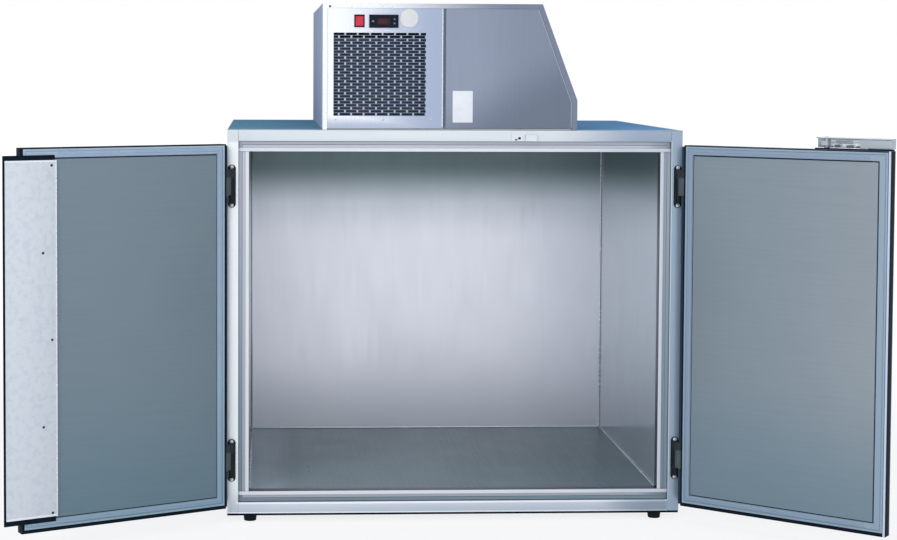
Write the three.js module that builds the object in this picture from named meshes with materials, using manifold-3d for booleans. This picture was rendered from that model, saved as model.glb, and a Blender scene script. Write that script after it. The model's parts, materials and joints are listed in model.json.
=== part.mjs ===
// A two-door keg cooler: an insulated steel cabinet with both doors swung open and a
// refrigeration unit on its roof. Millimetres, +Z up, the front faces -Y. The origin is the
// centre of the cabinet's flat underside, on the plane of symmetry between the doors.

import * as THREE from 'three';
import { mergeVertices } from 'three/addons/utils/BufferGeometryUtils.js';
import Module from 'manifold-3d';

const wasm = await Module();
wasm.setup();

// General clearances
const SEAT = 0.3; // left between a piece and what it rests on
const OVERRUN = 2; // how far a cutter runs past the face that it cuts
const RUNNING = 0.5; // left round a shaft or a rocker that turns

// The cabinet's casing
const casing = {
  width: 1180,
  depth: 960,
  height: 995,
  backWall: 72,
  skin: 1.2,
  liner: 1,
};

// The front frame: a flat flange, a recessed sealing band and a raised lip round the opening
const rim = {
  flange: 29,
  band: 18,
  lip: 9,
  recess: 10,
  lipRise: 3,
  depth: 42,
  sheet: 1.5,
};

// Levelling feet under the corners
const foot = { height: 22, padRadius: 16, topRadius: 18.5, inboard: 60, inset: 23 };

// Both doors, closed: gaps to the flange, and the build-up on the inner face
const door = {
  sideGap: 4,
  topGap: 7,
  bottomLap: 9,
  centreGap: 4,
  stand: 0.5,
  thickness: 30,
  skin: 1.2,
  sideRim: 6,
  topRim: 3,
  bottomRim: 9.5,
  sealWidth: 22,
  sealHeight: 3.7,
  ridgeWidth: 12,
  ridgeInset: 1,
  groove: 2.5,
  linerSheet: 1.2,
  linerLap: 8,
};
const OPEN_LEFT = 151.8; // degrees from closed, as the left door stands
const OPEN_RIGHT = 139.9; // degrees from closed, as the right door stands

// The strip that covers the gap between the doors, carried by the left door
const astragal = {
  width: 150,
  overhang: 48,
  sealSheet: 2.4,
  topInset: 18,
  bottomInset: 24.6,
  plateSheet: 1.2,
  plateInset: 5,
  plateTopGap: 10,
  plateBottomGap: 1.5,
};

// Edge-mounted hinges, two to a door
const hinge = {
  pivotInboard: 12,
  pivotForward: 12,
  leafLength: 111,
  leafWidth: 21,
  leafSheet: 3,
  barrelRadius: 8.4,
  boreRadius: 3.5,
  pinRadius: 3,
  knuckle: 20,
  doorBarrel: 66,
  armTop: 4,
  wingSheet: 3,
  wingDepth: 24,
  wingBack: 8,
  lower: 139.3,
  fromTop: 145,
  sides: 20,
};

// The lever latch on the right door's top edge, and its keeper on the top rail
const latch = {
  pivotInboard: 173,
  pivotOutward: 20,
  pastEdge: 0,
  length: 200,
  sheet: 3,
  bottom: 4,
  height: 26,
  back: 10,
  gripLength: 83,
  hubRadius: 7.2,
  pinRadius: 3,
  hookWidth: 8,
  hookReach: 15.5,
  hookThickness: 3,
  hookNose: 9,
  hookHeight: 11,
  endChamfer: 8,
  hookLift: 4,
  baseSheet: 2,
  baseLength: 120,
  baseBack: 8,
  bossHeight: 3.4,
};
const keeper = {
  sheet: 2,
  width: 66,
  rise: 8,
  height: 26,
  lipHeight: 17,
  lipSheet: 2.5,
  lipStand: 8.5,
  lipLength: 28,
  lipStart: 4,
};

// The refrigeration unit on the roof
const unit = {
  left: 244,
  backInset: 19,
  width: 660,
  slopeRun: 92,
  height: 325,
  knee: 77,
  sheet: 1.5,
  sideBand: 13,
  topBand: 12.5,
  slopeBand: 14,
  sill: 4,
  fold: 12,
};

// The grille panel and its brick pattern of slots
const grille = {
  right: 311,
  fieldLeft: 28.4,
  fieldBottom: 35.7,
  fieldWidth: 238,
  fieldHeight: 213.9,
  rowPitch: 7.64,
  slotHeight: 6.1,
  columnPitch: 32,
  slotLength: 27.6,
  leastSlot: 4,
};
const plainPanel = { left: 317.6, groove: 4 };

// Controls in the grille panel
const rocker = {
  left: 81.4,
  bottom: 263.6,
  width: 26.4,
  height: 32.4,
  rim: 2.6,
  border: 2.6,
  bodyDepth: 22,
  bodyInset: 2,
  pocket: 12,
  crown: 4,
  crownThickness: 7,
  tilt: 7,
};
const controller = {
  left: 119.6,
  bottom: 262.3,
  width: 75.2,
  height: 33.7,
  rim: 4,
  bodyDepth: 38,
  bodyInset: 2,
  windowLeft: 19,
  windowWidth: 36,
  windowBottom: 7,
  windowHeight: 19,
  windowDepth: 1.2,
  keyWidth: 8,
  keyHeight: 7,
  keyProud: 0.9,
  keyLength: 3,
  keyTravel: 0.8,
  keyInset: 6,
  keyRowGap: 4,
};

// The condenser side of the unit
const condenser = {
  left: 22,
  width: 252,
  height: 236,
  thickness: 44,
  setBack: 26,
  endPlate: 1.5,
  endPlateOver: 6,
  tubeRadius: 4.5,
  tubeRows: 5,
  tubeReach: 9,
};
const shroud = {
  thickness: 26,
  throat: 98,
  strut: 7,
  motorRadius: 30,
  motorLength: 46,
  motorGap: 8,
  plate: 2,
};
const coldFan = { radius: 73, throat: 78 };
const warmFan = { radius: 92 };
const blade = { count: 5, hubRadius: 26, hubLength: 15, root: 24, tip: 46, sheet: 1.6, pitch: 28 };
const shaft = { radius: 3, reach: 6 };

const compressor = {
  radius: 76,
  shell: 168,
  footRise: 14,
  plate: 4,
  plateWidth: 200,
  plateDepth: 130,
  left: 60,
  setBack: 250,
  boxWidth: 34,
  boxDepth: 44,
  boxHeight: 56,
  stubRadius: 5,
  stubLength: 34,
  grommet: 9,
};

// The compressor shell's outline, as shares of its radius and of its height
const shellShares = [
  [0, 0],
  [0.62, 0],
  [1, 0.2],
  [1, 0.46],
  [1.04, 0.48],
  [1.04, 0.52],
  [1, 0.54],
  [1, 0.78],
  [0.66, 0.95],
  [0, 1],
];
const terminalShare = 0.35; // the terminal box's height up the shell
const stubShare = { low: 0.6, high: 0.8, out: 0.82, apart: 0.4 };
const grommetShare = 1.3; // how many grommet radii in from the plate's edges
const bladeTipShare = 1.6; // a smaller fan's blades are narrower in this proportion

// The insulated evaporator box that passes through the roof
const evaporator = {
  fromRight: 84,
  width: 240,
  fromBack: 230,
  depth: 400,
  rise: 240,
  wall: 25,
  coilDepth: 140,
  coilHeight: 170,
  coilLift: 40,
  finPitch: 20,
  fin: 3,
};
const duct = {
  overhang: 48,
  sheet: 1.5,
  slotPitch: 14,
  slotWidth: 6,
  slotLength: 150,
  slotCount: 9,
  post: 6,
  postLift: 62,
};

// Vents and the power inlet in the unit's back
const vent = { columns: 3, rows: 9, apart: 34, height: 6, rowPitch: 16, margin: 70, bottom: 60 };
const inlet = {
  width: 48,
  height: 28,
  fromRight: 60,
  bottom: 36,
  rim: 3,
  depth: 22,
  pocket: 16,
  wall: 5,
  pinWidth: 2,
  pinHeight: 4,
  pinPitch: 7,
};

// Places that follow from the sizes
const wall = rim.flange + rim.band + rim.lip;
const front = -casing.depth / 2;
const back = casing.depth / 2;
const side = casing.width / 2;
const shellFront = front + rim.depth + SEAT;
const cavityHalf = side - wall;
const cavityBack = back - casing.backWall;
const ceiling = casing.height - wall;
const doorWidth = side - rim.flange - door.sideGap - door.centreGap / 2;
const doorBottom = rim.flange - door.bottomLap;
const doorTop = casing.height - rim.flange - door.topGap;
const hingeEdge = rim.flange + door.sideGap - hinge.pivotInboard;
const unitLeft = unit.left - side;
const unitFloor = casing.height + SEAT;
const unitBack = back - unit.backInset;
const unitTopWidth = unit.width - unit.slopeRun;

const paint = (color, roughness, metalness) =>
  new THREE.MeshStandardMaterial({ color, roughness, metalness });

const finish = {
  brightSteel: paint(0xeceff2, 0.32, 0.85),
  frontSteel: paint(0xe6e9ee, 0.38, 0.7),
  sealBand: paint(0x9a9fac, 0.45, 0.6),
  roofSteel: paint(0x4f7fae, 0.4, 0.6),
  sideSteel: paint(0xa9b6c4, 0.4, 0.7),
  linerSteel: paint(0xc3c3d8, 0.3, 0.8),
  doorLiner: paint(0x7b8a94, 0.5, 0.5),
  doorSkin: paint(0x2c343b, 0.45, 0.6),
  seal: paint(0x9caac8, 0.7, 0),
  darkSeal: paint(0x16181c, 0.7, 0),
  lightPlate: paint(0xd6d9e4, 0.4, 0.5),
  hingeBlack: paint(0x23262a, 0.45, 0.5),
  hingeGrey: paint(0x5c656b, 0.45, 0.5),
  foam: paint(0xe4ddc2, 0.95, 0),
  black: paint(0x0e0f12, 0.5, 0.1),
  red: paint(0xd8455c, 0.35, 0),
  galvanised: paint(0x8a93a0, 0.5, 0.6),
  fins: paint(0x8d9298, 0.5, 0.7),
  enamel: paint(0x1a1c20, 0.4, 0.3),
  fanPlastic: paint(0x2b2f36, 0.5, 0),
};

// A closed solid that can be joined, cut and turned into a geometry.
class Solid {
  constructor(body) {
    this.body = body;
  }

  // A geometry's own shared vertices make the solid, so only positions are kept.
  static from(geometry) {
    const bare = geometry.index ? geometry.toNonIndexed() : geometry.clone();
    const shape = new THREE.BufferGeometry();
    shape.setAttribute('position', bare.getAttribute('position'));
    const merged = mergeVertices(shape, 1e-4);
    const mesh = new wasm.Mesh({
      numProp: 3,
      vertProperties: merged.attributes.position.array,
      triVerts: new Uint32Array(merged.index.array),
    });
    return new Solid(new wasm.Manifold(mesh));
  }

  // A box between two values on each axis, in either order.
  static block([x0, x1], [y0, y1], [z0, z1]) {
    const box = new THREE.BoxGeometry(Math.abs(x1 - x0), Math.abs(y1 - y0), Math.abs(z1 - z0));
    return Solid.from(box.translate((x0 + x1) / 2, (y0 + y1) / 2, (z0 + z1) / 2));
  }

  // An outline drawn on the two other axes and drawn out between two values of an axis.
  static prism(outline, axis, [from, to]) {
    const shape = new THREE.Shape(outline.map(([p, q]) => new THREE.Vector2(p, q)));
    const low = Math.min(from, to);
    const high = Math.max(from, to);
    const drawn = new THREE.ExtrudeGeometry(shape, { depth: high - low, bevelEnabled: false });
    if (axis === 'z') drawn.translate(0, 0, low);
    if (axis === 'y') drawn.rotateX(Math.PI / 2).translate(0, high, 0);
    if (axis === 'x') {
      drawn.applyMatrix4(new THREE.Matrix4().set(0, 0, 1, low, 1, 0, 0, 0, 0, 1, 0, 0, 0, 0, 0, 1));
    }
    return Solid.from(drawn);
  }

  // A round bar along an axis, through a point given on the two other axes in x, y, z order.
  static rod(radius, axis, [from, to], [p, q], sides = 24) {
    const length = Math.abs(to - from);
    const middle = (from + to) / 2;
    const bar = new THREE.CylinderGeometry(radius, radius, length, sides);
    if (axis === 'x') bar.rotateZ(Math.PI / 2).translate(middle, p, q);
    if (axis === 'y') bar.translate(p, middle, q);
    if (axis === 'z') bar.rotateX(Math.PI / 2).translate(p, q, middle);
    return Solid.from(bar);
  }

  // A profile of radius and height turned about a vertical axis.
  static turned(profile, [x, y, z], sides = 24) {
    const points = profile.map(([radius, height]) => new THREE.Vector2(radius, height));
    const lathe = new THREE.LatheGeometry(points, sides);
    return Solid.from(lathe.rotateX(Math.PI / 2).translate(x, y, z));
  }

  add(...others) {
    return new Solid(others.reduce((sum, other) => sum.add(other.body), this.body));
  }

  cut(...others) {
    return new Solid(others.reduce((rest, other) => rest.subtract(other.body), this.body));
  }

  geometry() {
    const { vertProperties, triVerts } = this.body.getMesh();
    const shape = new THREE.BufferGeometry();
    shape.setAttribute('position', new THREE.BufferAttribute(new Float32Array(vertProperties), 3));
    shape.setIndex(new THREE.BufferAttribute(new Uint32Array(triVerts), 1));
    const flat = shape.toNonIndexed();
    flat.computeVertexNormals();
    return flat;
  }
}

const { block, prism, rod, turned } = Solid;

// Adds a solid to a group as a named mesh.
function place(group, name, solid, material) {
  const mesh = new THREE.Mesh(solid.geometry(), material);
  mesh.name = name;
  group.add(mesh);
  return mesh;
}

// The same open line moved to its left by a distance, with its corners mitred.
function moved(line, distance) {
  const normals = line.slice(1).map(([x, y], i) => {
    const [dx, dy] = [x - line[i][0], y - line[i][1]];
    const length = Math.hypot(dx, dy);
    return [-dy / length, dx / length];
  });
  return line.map(([x, y], i) => {
    const before = normals[Math.max(i - 1, 0)];
    const after = normals[Math.min(i, normals.length - 1)];
    const sum = [before[0] + after[0], before[1] + after[1]];
    const reach = (2 * distance) / (sum[0] ** 2 + sum[1] ** 2);
    return [x + sum[0] * reach, y + sum[1] * reach];
  });
}

// The outline of a sheet folded along an open line, with its thickness to the line's left.
function folded(line, thickness) {
  return [...line, ...moved(line, thickness).reverse()];
}

// The front frame's rails

// The rail's folded section as distances in from the outer side and back from the front.
function railSection() {
  const bandEnd = rim.flange + rim.band;
  const lipDepth = rim.recess - rim.lipRise;
  return [
    [0, rim.depth],
    [0, 0],
    [rim.flange, 0],
    [rim.flange, rim.recess],
    [bandEnd, rim.recess],
    [bandEnd, lipDepth],
    [wall, lipDepth],
    [wall, rim.depth],
  ];
}

function frontFrame() {
  const group = new THREE.Group();
  const section = folded(railSection(), rim.sheet);
  for (const [name, sign] of [['rail_left', -1], ['rail_right', 1]]) {
    const outline = section.map(([inboard, depth]) => [sign * (side - inboard), front + depth]);
    const inner = sign * (side - rim.flange);
    const past = sign * (cavityHalf - OVERRUN);
    const deep = [front - OVERRUN, front + rim.depth + OVERRUN];
    const cap = [[sign * side, inner], [front, front + rim.depth]];
    const rail = prism(outline, 'z', [0, casing.height])
      .add(block(...cap, [0, rim.sheet]), block(...cap, [casing.height - rim.sheet, casing.height]))
      .cut(block([inner, past], deep, [-OVERRUN, wall + SEAT]))
      .cut(block([inner, past], deep, [ceiling - SEAT, casing.height + OVERRUN]));
    place(group, name, rail, finish.frontSteel);
  }
  const reach = side - rim.flange - SEAT;
  const top = section.map(([inboard, depth]) => [front + depth, casing.height - inboard]);
  const bottom = section.map(([inboard, depth]) => [front + depth, inboard]);
  place(group, 'rail_top', prism(top, 'x', [-reach, reach]), finish.frontSteel);
  place(group, 'rail_bottom', prism(bottom, 'x', [-reach, reach])
    .cut(...footHoles(['front_left', 'front_right'], rim.sheet)), finish.frontSteel);
  return group;
}

// The evaporator box's footprint, which the roof, foam and ceiling are cut for
function evaporatorSpan(grow) {
  const right = unitLeft + unit.width - evaporator.fromRight;
  const far = unitBack - evaporator.fromBack;
  return [
    [right - evaporator.width - grow, right + grow],
    [far - evaporator.depth - grow, far + grow],
  ];
}

function footPlaces() {
  const x = side - foot.inboard;
  const y = back - foot.inset;
  return { front_left: [-x, -y], front_right: [x, -y], back_left: [-x, y], back_right: [x, y] };
}

// The holes in the sheet that some of the feet are pressed into
function footHoles(names, sheet) {
  return names.map((name) => rod(foot.topRadius + SEAT, 'z', [-OVERRUN, sheet + OVERRUN],
    footPlaces()[name]));
}

function cabinetShell() {
  const group = new THREE.Group();
  const { skin, liner, height } = casing;
  const roofHole = block(...evaporatorSpan(SEAT), [ceiling - rim.flange, height + OVERRUN]);
  const shellBack = back - skin - SEAT;

  place(group, 'casing_left', block([-side, -side + skin], [shellFront, shellBack], [0, height]),
    finish.sideSteel);
  place(group, 'casing_right', block([side, side - skin], [shellFront, shellBack], [0, height]),
    finish.sideSteel);
  place(group, 'casing_back', block([-side, side], [back - skin, back], [0, height]),
    finish.sideSteel);
  const between = side - skin - SEAT;
  const base = block([-between, between], [shellFront, shellBack], [0, skin]);
  place(group, 'casing_base', base.cut(...footHoles(['back_left', 'back_right'], skin)),
    finish.galvanised);
  const roof = block([-between, between], [shellFront, shellBack], [height - skin, height]);
  place(group, 'casing_top', roof.cut(roofHole), finish.roofSteel);

  const linerSide = cavityHalf + liner;
  const linerFloor = wall - liner;
  const linerTop = ceiling + liner;
  const foamOut = skin + SEAT;
  const foam = block(
    [-side + foamOut, side - foamOut],
    [shellFront, back - foamOut],
    [foamOut, height - foamOut],
  )
    .cut(block([-linerSide - SEAT, linerSide + SEAT],
      [shellFront - OVERRUN, cavityBack + liner + SEAT],
      [linerFloor - SEAT, linerTop + SEAT]))
    .cut(roofHole);
  place(group, 'foam_jacket', foam, finish.foam);

  const linerDepth = [shellFront, cavityBack - SEAT];
  const inner = cavityHalf - SEAT;
  place(group, 'liner_left', block([-linerSide, -cavityHalf], linerDepth, [linerFloor, linerTop]),
    finish.linerSteel);
  place(group, 'liner_right', block([linerSide, cavityHalf], linerDepth, [linerFloor, linerTop]),
    finish.linerSteel);
  place(group, 'liner_back',
    block([-linerSide, linerSide], [cavityBack, cavityBack + liner], [linerFloor, linerTop]),
    finish.linerSteel);
  place(group, 'liner_floor', block([-inner, inner], linerDepth, [linerFloor, wall]),
    finish.linerSteel);
  const mouth = block(...evaporatorSpan(-evaporator.wall), [ceiling - OVERRUN, linerTop + OVERRUN]);
  place(group, 'liner_ceiling', block([-inner, inner], linerDepth, [ceiling, linerTop]).cut(mouth),
    finish.linerSteel);
  return group;
}

// A rubber foot is pressed into a hole in the bottom rail or in the base sheet.
function feet() {
  const group = new THREE.Group();
  const top = foot.height;
  const profile = [
    [0, 0],
    [foot.padRadius, 0],
    [foot.topRadius, top],
    [foot.topRadius, top + casing.skin],
    [0, top + casing.skin],
  ];
  for (const [name, [x, y]] of Object.entries(footPlaces())) {
    place(group, `foot_${name}`, turned(profile, [x, y, -foot.height]), finish.black);
  }
  return group;
}

// A door's pieces are drawn closed, about its pivot: "across" runs from the hinge to the free
// edge and "inward" towards the cavity. The sign is +1 for the left door and -1 for the right.
function doorPieces(sign) {
  const across = (u) => sign * (hingeEdge + u);
  const inward = (w) => hinge.pivotForward - door.stand + w;
  const span = (from, to) => [across(from), across(to)];
  const layer = (from, to) => [inward(from), inward(to)];
  return { span, layer };
}

// The ring left between two distances in from the pan's rim, as x and z ranges of its outside
// or inside: the rim is wider at the bottom and narrower at the top than at the sides.
function rimInset(span, inset) {
  return {
    x: span(door.sideRim + inset, doorWidth - door.sideRim - inset),
    z: [doorBottom + door.bottomRim + inset, doorTop - door.topRim - inset],
  };
}

function doorPan({ span, layer }) {
  const { skin, thickness } = door;
  const open = rimInset(span, door.sealWidth + door.groove + door.linerLap);
  const shell = block(span(0, doorWidth), layer(-thickness, 0), [doorBottom, doorTop]);
  const hollow = block(span(skin, doorWidth - skin), layer(skin - thickness, -skin),
    [doorBottom + skin, doorTop - skin]);
  return shell.cut(hollow, block(open.x, layer(-skin - OVERRUN, OVERRUN), open.z));
}

function doorCore({ span, layer }) {
  const inset = door.skin + SEAT;
  return block(span(inset, doorWidth - inset), layer(inset - door.thickness, -inset),
    [doorBottom + inset, doorTop - inset]);
}

// The seal is a flat ring. On the three sides that meet the cabinet's frame it carries a raised
// body that lands on the frame's lip, and its long runs stop short of the astragal.
function doorSeal({ span, layer }, covered) {
  const outer = rimInset(span, 0);
  const inner = rimInset(span, door.sealWidth);
  const low = layer(SEAT, SEAT + door.sealHeight);
  const raised = layer(SEAT, rim.recess - rim.lipRise + door.stand - SEAT);
  const far = door.sealWidth - door.ridgeInset;
  const near = far - door.ridgeWidth;
  const [farEdge, nearEdge] = [rimInset(span, far), rimInset(span, near)];
  const run = span(door.sideRim + near, doorWidth - covered);
  return block(outer.x, low, outer.z)
    .cut(block(inner.x, layer(-OVERRUN, rim.recess), inner.z))
    .add(
      block(span(door.sideRim + near, door.sideRim + far), raised, nearEdge.z),
      block(run, raised, [nearEdge.z[1], farEdge.z[1]]),
      block(run, raised, [nearEdge.z[0], farEdge.z[0]]),
    );
}

// The inner panel is a shallow tray whose edges turn back to the pan's return edge.
function doorLiner({ span, layer }) {
  const { linerSheet, sealHeight, sealWidth, groove } = door;
  const outer = rimInset(span, sealWidth + groove);
  const inner = rimInset(span, sealWidth + groove + linerSheet);
  return block(outer.x, layer(SEAT, SEAT + sealHeight), outer.z)
    .cut(block(inner.x, layer(-OVERRUN, SEAT + sealHeight - linerSheet), inner.z));
}

function astragalPieces({ span, layer }) {
  const free = doorWidth + astragal.overhang;
  const low = SEAT + door.sealHeight + SEAT;
  const mid = low + astragal.sealSheet;
  const seal = block(span(free - astragal.width, free), layer(low, mid),
    [doorBottom + astragal.bottomInset, doorTop - astragal.topInset]);
  const plate = block(span(free - astragal.width, free - astragal.plateInset),
    layer(mid + SEAT, mid + SEAT + astragal.plateSheet),
    [wall + astragal.plateBottomGap, ceiling - astragal.plateTopGap]);
  return { seal, plate };
}

// The leaf screwed to the cabinet's flange, with its knuckle and pin, drawn about the pivot.
function frameLeaf(centre) {
  const half = hinge.leafWidth / 2;
  const straight = hinge.leafLength / 2 - half;
  const face = hinge.pivotForward - SEAT;
  const foreground = face - hinge.leafSheet;
  const low = centre - (hinge.knuckle + SEAT + hinge.doorBarrel) / 2;
  const knuckle = [low, low + hinge.knuckle];
  const bridge = [-hinge.barrelRadius, hinge.barrelRadius];
  const { sides } = hinge;
  return block([-half, half], [foreground, face], [centre - straight, centre + straight])
    .add(rod(half, 'y', [foreground, face], [0, centre - straight], sides))
    .add(rod(half, 'y', [foreground, face], [0, centre + straight], sides))
    .add(rod(hinge.barrelRadius, 'z', knuckle, [0, 0], sides))
    .add(block(bridge, [0, face - hinge.leafSheet / 2], knuckle))
    .add(rod(hinge.pinRadius, 'z', [low, low + hinge.knuckle + hinge.doorBarrel], [0, 0], sides));
}

// The barrel that turns on the pin, with an arm to a wing on the door's edge.
function doorLeaf(centre, sign) {
  const total = hinge.knuckle + SEAT + hinge.doorBarrel;
  const low = centre - total / 2 + hinge.knuckle + SEAT;
  const height = [low, low + hinge.doorBarrel];
  const wing = hingeEdge - SEAT;
  const wingInner = wing - hinge.wingSheet;
  const { sides } = hinge;
  return rod(hinge.barrelRadius, 'z', height, [0, 0], sides)
    .add(block([0, sign * (wing - hinge.wingSheet / 2)], [-hinge.barrelRadius, hinge.armTop], height))
    .add(block([sign * wingInner, sign * wing],
      [hinge.wingBack - hinge.wingDepth, hinge.wingBack], height))
    .cut(rod(hinge.boreRadius, 'z', [low - OVERRUN, low + hinge.doorBarrel + OVERRUN], [0, 0], sides));
}

function hingedDoor(name, sign, opening) {
  const group = new THREE.Group();
  const frame = doorPieces(sign);
  const pivot = [-sign * (side - hinge.pivotInboard), front - hinge.pivotForward, 0];

  const swing = new THREE.Group();
  place(swing, `${name}_pan`, doorPan(frame), finish.doorSkin);
  place(swing, `${name}_core`, doorCore(frame), finish.foam);
  const covered = sign > 0 ? astragal.width - astragal.overhang : astragal.overhang;
  place(swing, `${name}_seal`, doorSeal(frame, covered + SEAT), finish.seal);
  place(swing, `${name}_liner`, doorLiner(frame), finish.doorLiner);
  if (sign > 0) {
    const { seal, plate } = astragalPieces(frame);
    place(swing, 'astragal_seal', seal, finish.darkSeal);
    place(swing, 'astragal_plate', plate, finish.lightPlate);
  } else {
    swing.add(latchPieces(frame));
  }
  const levels = [['lower', hinge.lower], ['upper', casing.height - hinge.fromTop]];
  for (const [level, centre] of levels) {
    place(swing, `${name}_${level}_hinge_wing`, doorLeaf(centre, sign), finish.hingeGrey);
    place(group, `${name}_${level}_hinge_leaf`, frameLeaf(centre), finish.hingeBlack);
  }
  swing.rotation.z = THREE.MathUtils.degToRad(-sign * opening);
  group.add(swing);
  group.position.set(...pivot);
  return group;
}

// The lever turns on an upright pin. Its hook reaches towards the cabinet and noses behind
// the keeper's lip, and pulling the grip outwards swings the nose clear.
function latchPieces({ span, layer }) {
  const group = new THREE.Group();
  const inboard = (u) => doorWidth - u;
  const base = doorTop + SEAT;
  const pinAt = [
    span(inboard(latch.pivotInboard), 0)[0],
    layer(-latch.pivotOutward, 0)[0],
  ];
  const bossTop = base + latch.baseSheet + latch.bossHeight;
  const leverTop = doorTop + latch.bottom + latch.height;
  const pinTop = leverTop - latch.sheet - SEAT;
  const { thickness } = door;

  const baseEnd = latch.pivotInboard + latch.hubRadius * 2;
  const bracket = block(span(inboard(baseEnd), inboard(baseEnd - latch.baseLength)),
    layer(latch.sheet - thickness, -latch.baseBack), [base, base + latch.baseSheet])
    .add(rod(latch.hubRadius - RUNNING, 'z', [base, bossTop], pinAt, hinge.sides))
    .add(rod(latch.pinRadius, 'z', [base, pinTop], pinAt, hinge.sides));
  place(group, 'latch_bracket', bracket, finish.galvanised);

  const start = -latch.pastEdge;
  const end = latch.length - latch.pastEdge;
  const outerWall = [-thickness, latch.sheet - thickness];
  const innerWall = [-latch.back - latch.sheet, -latch.back];
  const low = doorTop + latch.bottom;
  const hubLow = bossTop + SEAT;
  const hubTop = leverTop - latch.sheet;
  const hookLow = hubLow + latch.hookLift;
  const hook = [hookLow, hookLow + latch.hookHeight];
  const reach = latch.hookReach - latch.pivotOutward;
  const armIn = latch.pivotInboard;
  const clip = latch.endChamfer + OVERRUN;
  const [clipStart, clipEnd] = span(inboard(end - clip), inboard(end + OVERRUN));
  const [clipOut, clipIn] = layer(-latch.back - clip, OVERRUN - latch.back);
  const clipped = prism([[clipStart, clipIn], [clipEnd, clipOut], [clipEnd, clipIn]], 'z',
    [low, leverTop + OVERRUN]);
  const lever = block(span(inboard(start), inboard(end)), layer(-thickness, -latch.back),
    [hubTop, leverTop])
    .add(block(span(inboard(start), inboard(end)), layer(...outerWall), [low, leverTop]))
    .add(block(span(inboard(start), inboard(start + latch.gripLength)), layer(...innerWall),
      [low, leverTop]))
    .add(block(span(inboard(start), inboard(start + latch.sheet)), layer(-thickness, -latch.back),
      [low, leverTop]))
    .add(rod(latch.hubRadius, 'z', [hubLow, hubTop + latch.sheet / 2], pinAt, hinge.sides))
    .add(block(span(inboard(armIn - latch.hookWidth), inboard(armIn)),
      layer(-latch.pivotOutward, reach), hook))
    .add(block(span(inboard(armIn - latch.hookWidth), inboard(armIn + latch.hookNose)),
      layer(reach - latch.hookThickness, reach), hook))
    .cut(rod(latch.pinRadius + RUNNING, 'z', [hubLow - OVERRUN, pinTop + SEAT], pinAt, hinge.sides))
    .cut(clipped);
  place(group, 'latch_lever', lever, finish.brightSteel);
  return group;
}

// The keeper's plate lies on the top rail, and its lip stands out with its open end towards
// the door's free edge, low enough for the lever's top to swing over it.
function latchKeeper() {
  const group = new THREE.Group();
  const pivot = door.centreGap / 2 + latch.pivotInboard;
  const face = front - SEAT;
  const plateFront = face - keeper.sheet;
  const low = doorTop + keeper.rise;
  const lipHeight = [low, low + keeper.lipHeight];
  const lipEnd = pivot + keeper.lipStart + keeper.lipLength;
  const lipFront = front - keeper.lipStand - keeper.lipSheet;
  const plateEnd = lipEnd + keeper.lipSheet;
  const plate = block([plateEnd - keeper.width, plateEnd], [plateFront, face],
    [low, low + keeper.height])
    .add(block([pivot + keeper.lipStart, lipEnd], [lipFront, front - keeper.lipStand], lipHeight))
    .add(block([lipEnd - keeper.lipSheet, lipEnd], [lipFront, plateFront + keeper.sheet / 2],
      lipHeight));
  place(group, 'latch_keeper', plate, finish.brightSteel);
  return group;
}

// The refrigeration unit. Its pieces are drawn with x from the unit's left side and z from its
// underside, and its group stands them on the roof.

// The hood's end outline from the lower left round to the lower right
function hoodLine() {
  return [
    [0, 0],
    [0, unit.height],
    [unitTopWidth, unit.height],
    [unit.width, unit.knee],
    [unit.width, 0],
  ];
}

// The line that the front panels fit inside, with a band of the hood left showing round them
function fasciaLine(clearance) {
  const slope = (unit.width - unitTopWidth) / (unit.height - unit.knee);
  const top = unit.height - unit.topBand - clearance;
  const inset = unit.slopeBand + clearance;
  return [
    [unit.sideBand + clearance, unit.sill],
    [unit.sideBand + clearance, top],
    [unitTopWidth + slope * (unit.height - top) - inset, top],
    [unit.width - inset, unit.knee - slope * inset],
    [unit.width - inset, unit.sill],
  ];
}

function hoodShell() {
  const outer = hoodLine();
  const shell = prism(folded(outer, -unit.sheet), 'y', [front, unitBack]);
  const window = fasciaLine(0);
  const floor = [[window.at(-1)[0], 0], [window[0][0], 0]];
  const border = prism(outer, 'y', [front, front + unit.sheet])
    .cut(prism([...window, ...floor.map(([x]) => [x, -OVERRUN])], 'y',
      [front - OVERRUN, front + unit.sheet + OVERRUN]));
  return shell.add(border);
}

// A front panel as a tray: its outline, drawn anticlockwise, has its edges folded back.
function foldedPanel(outline) {
  const closed = [outline.at(-1), ...outline, outline[0]];
  const inner = moved(closed, unit.sheet).slice(1, -1);
  return prism(outline, 'y', [front, front + unit.fold])
    .cut(prism(inner, 'y', [front + unit.sheet, front + unit.fold + OVERRUN]));
}

const rectangle = (x0, x1, z0, z1) => [[x0, z0], [x1, z0], [x1, z1], [x0, z1]];

// Cuts rectangular holes, given by their sides, through a sheet whose face is at y.
function punched(sheet, y, holes) {
  const through = [y - OVERRUN, y + OVERRUN];
  return sheet.cut(...holes.map(([x0, x1, z0, z1]) => block([x0, x1], through, [z0, z1])));
}

// Rows of slots laid like bricks: every other row is moved along by half a pitch
function brickSlots() {
  const slots = [];
  const rows = Math.round(grille.fieldHeight / grille.rowPitch);
  for (let row = 0; row < rows; row += 1) {
    const top = grille.fieldBottom + grille.fieldHeight - row * grille.rowPitch;
    const shift = (row % 2) * (grille.columnPitch / 2);
    for (let start = -shift; start < grille.fieldWidth; start += grille.columnPitch) {
      const from = Math.max(start, 0);
      const to = Math.min(start + grille.slotLength, grille.fieldWidth);
      if (to - from < grille.leastSlot) continue;
      slots.push([grille.fieldLeft + from, grille.fieldLeft + to, top - grille.slotHeight, top]);
    }
  }
  return slots;
}

// The hole that a control's body passes through, behind its rim
function controlHole(control) {
  const inset = control.bodyInset - SEAT;
  return [control.left + inset, control.left + control.width - inset,
    control.bottom + inset, control.bottom + control.height - inset];
}

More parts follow.
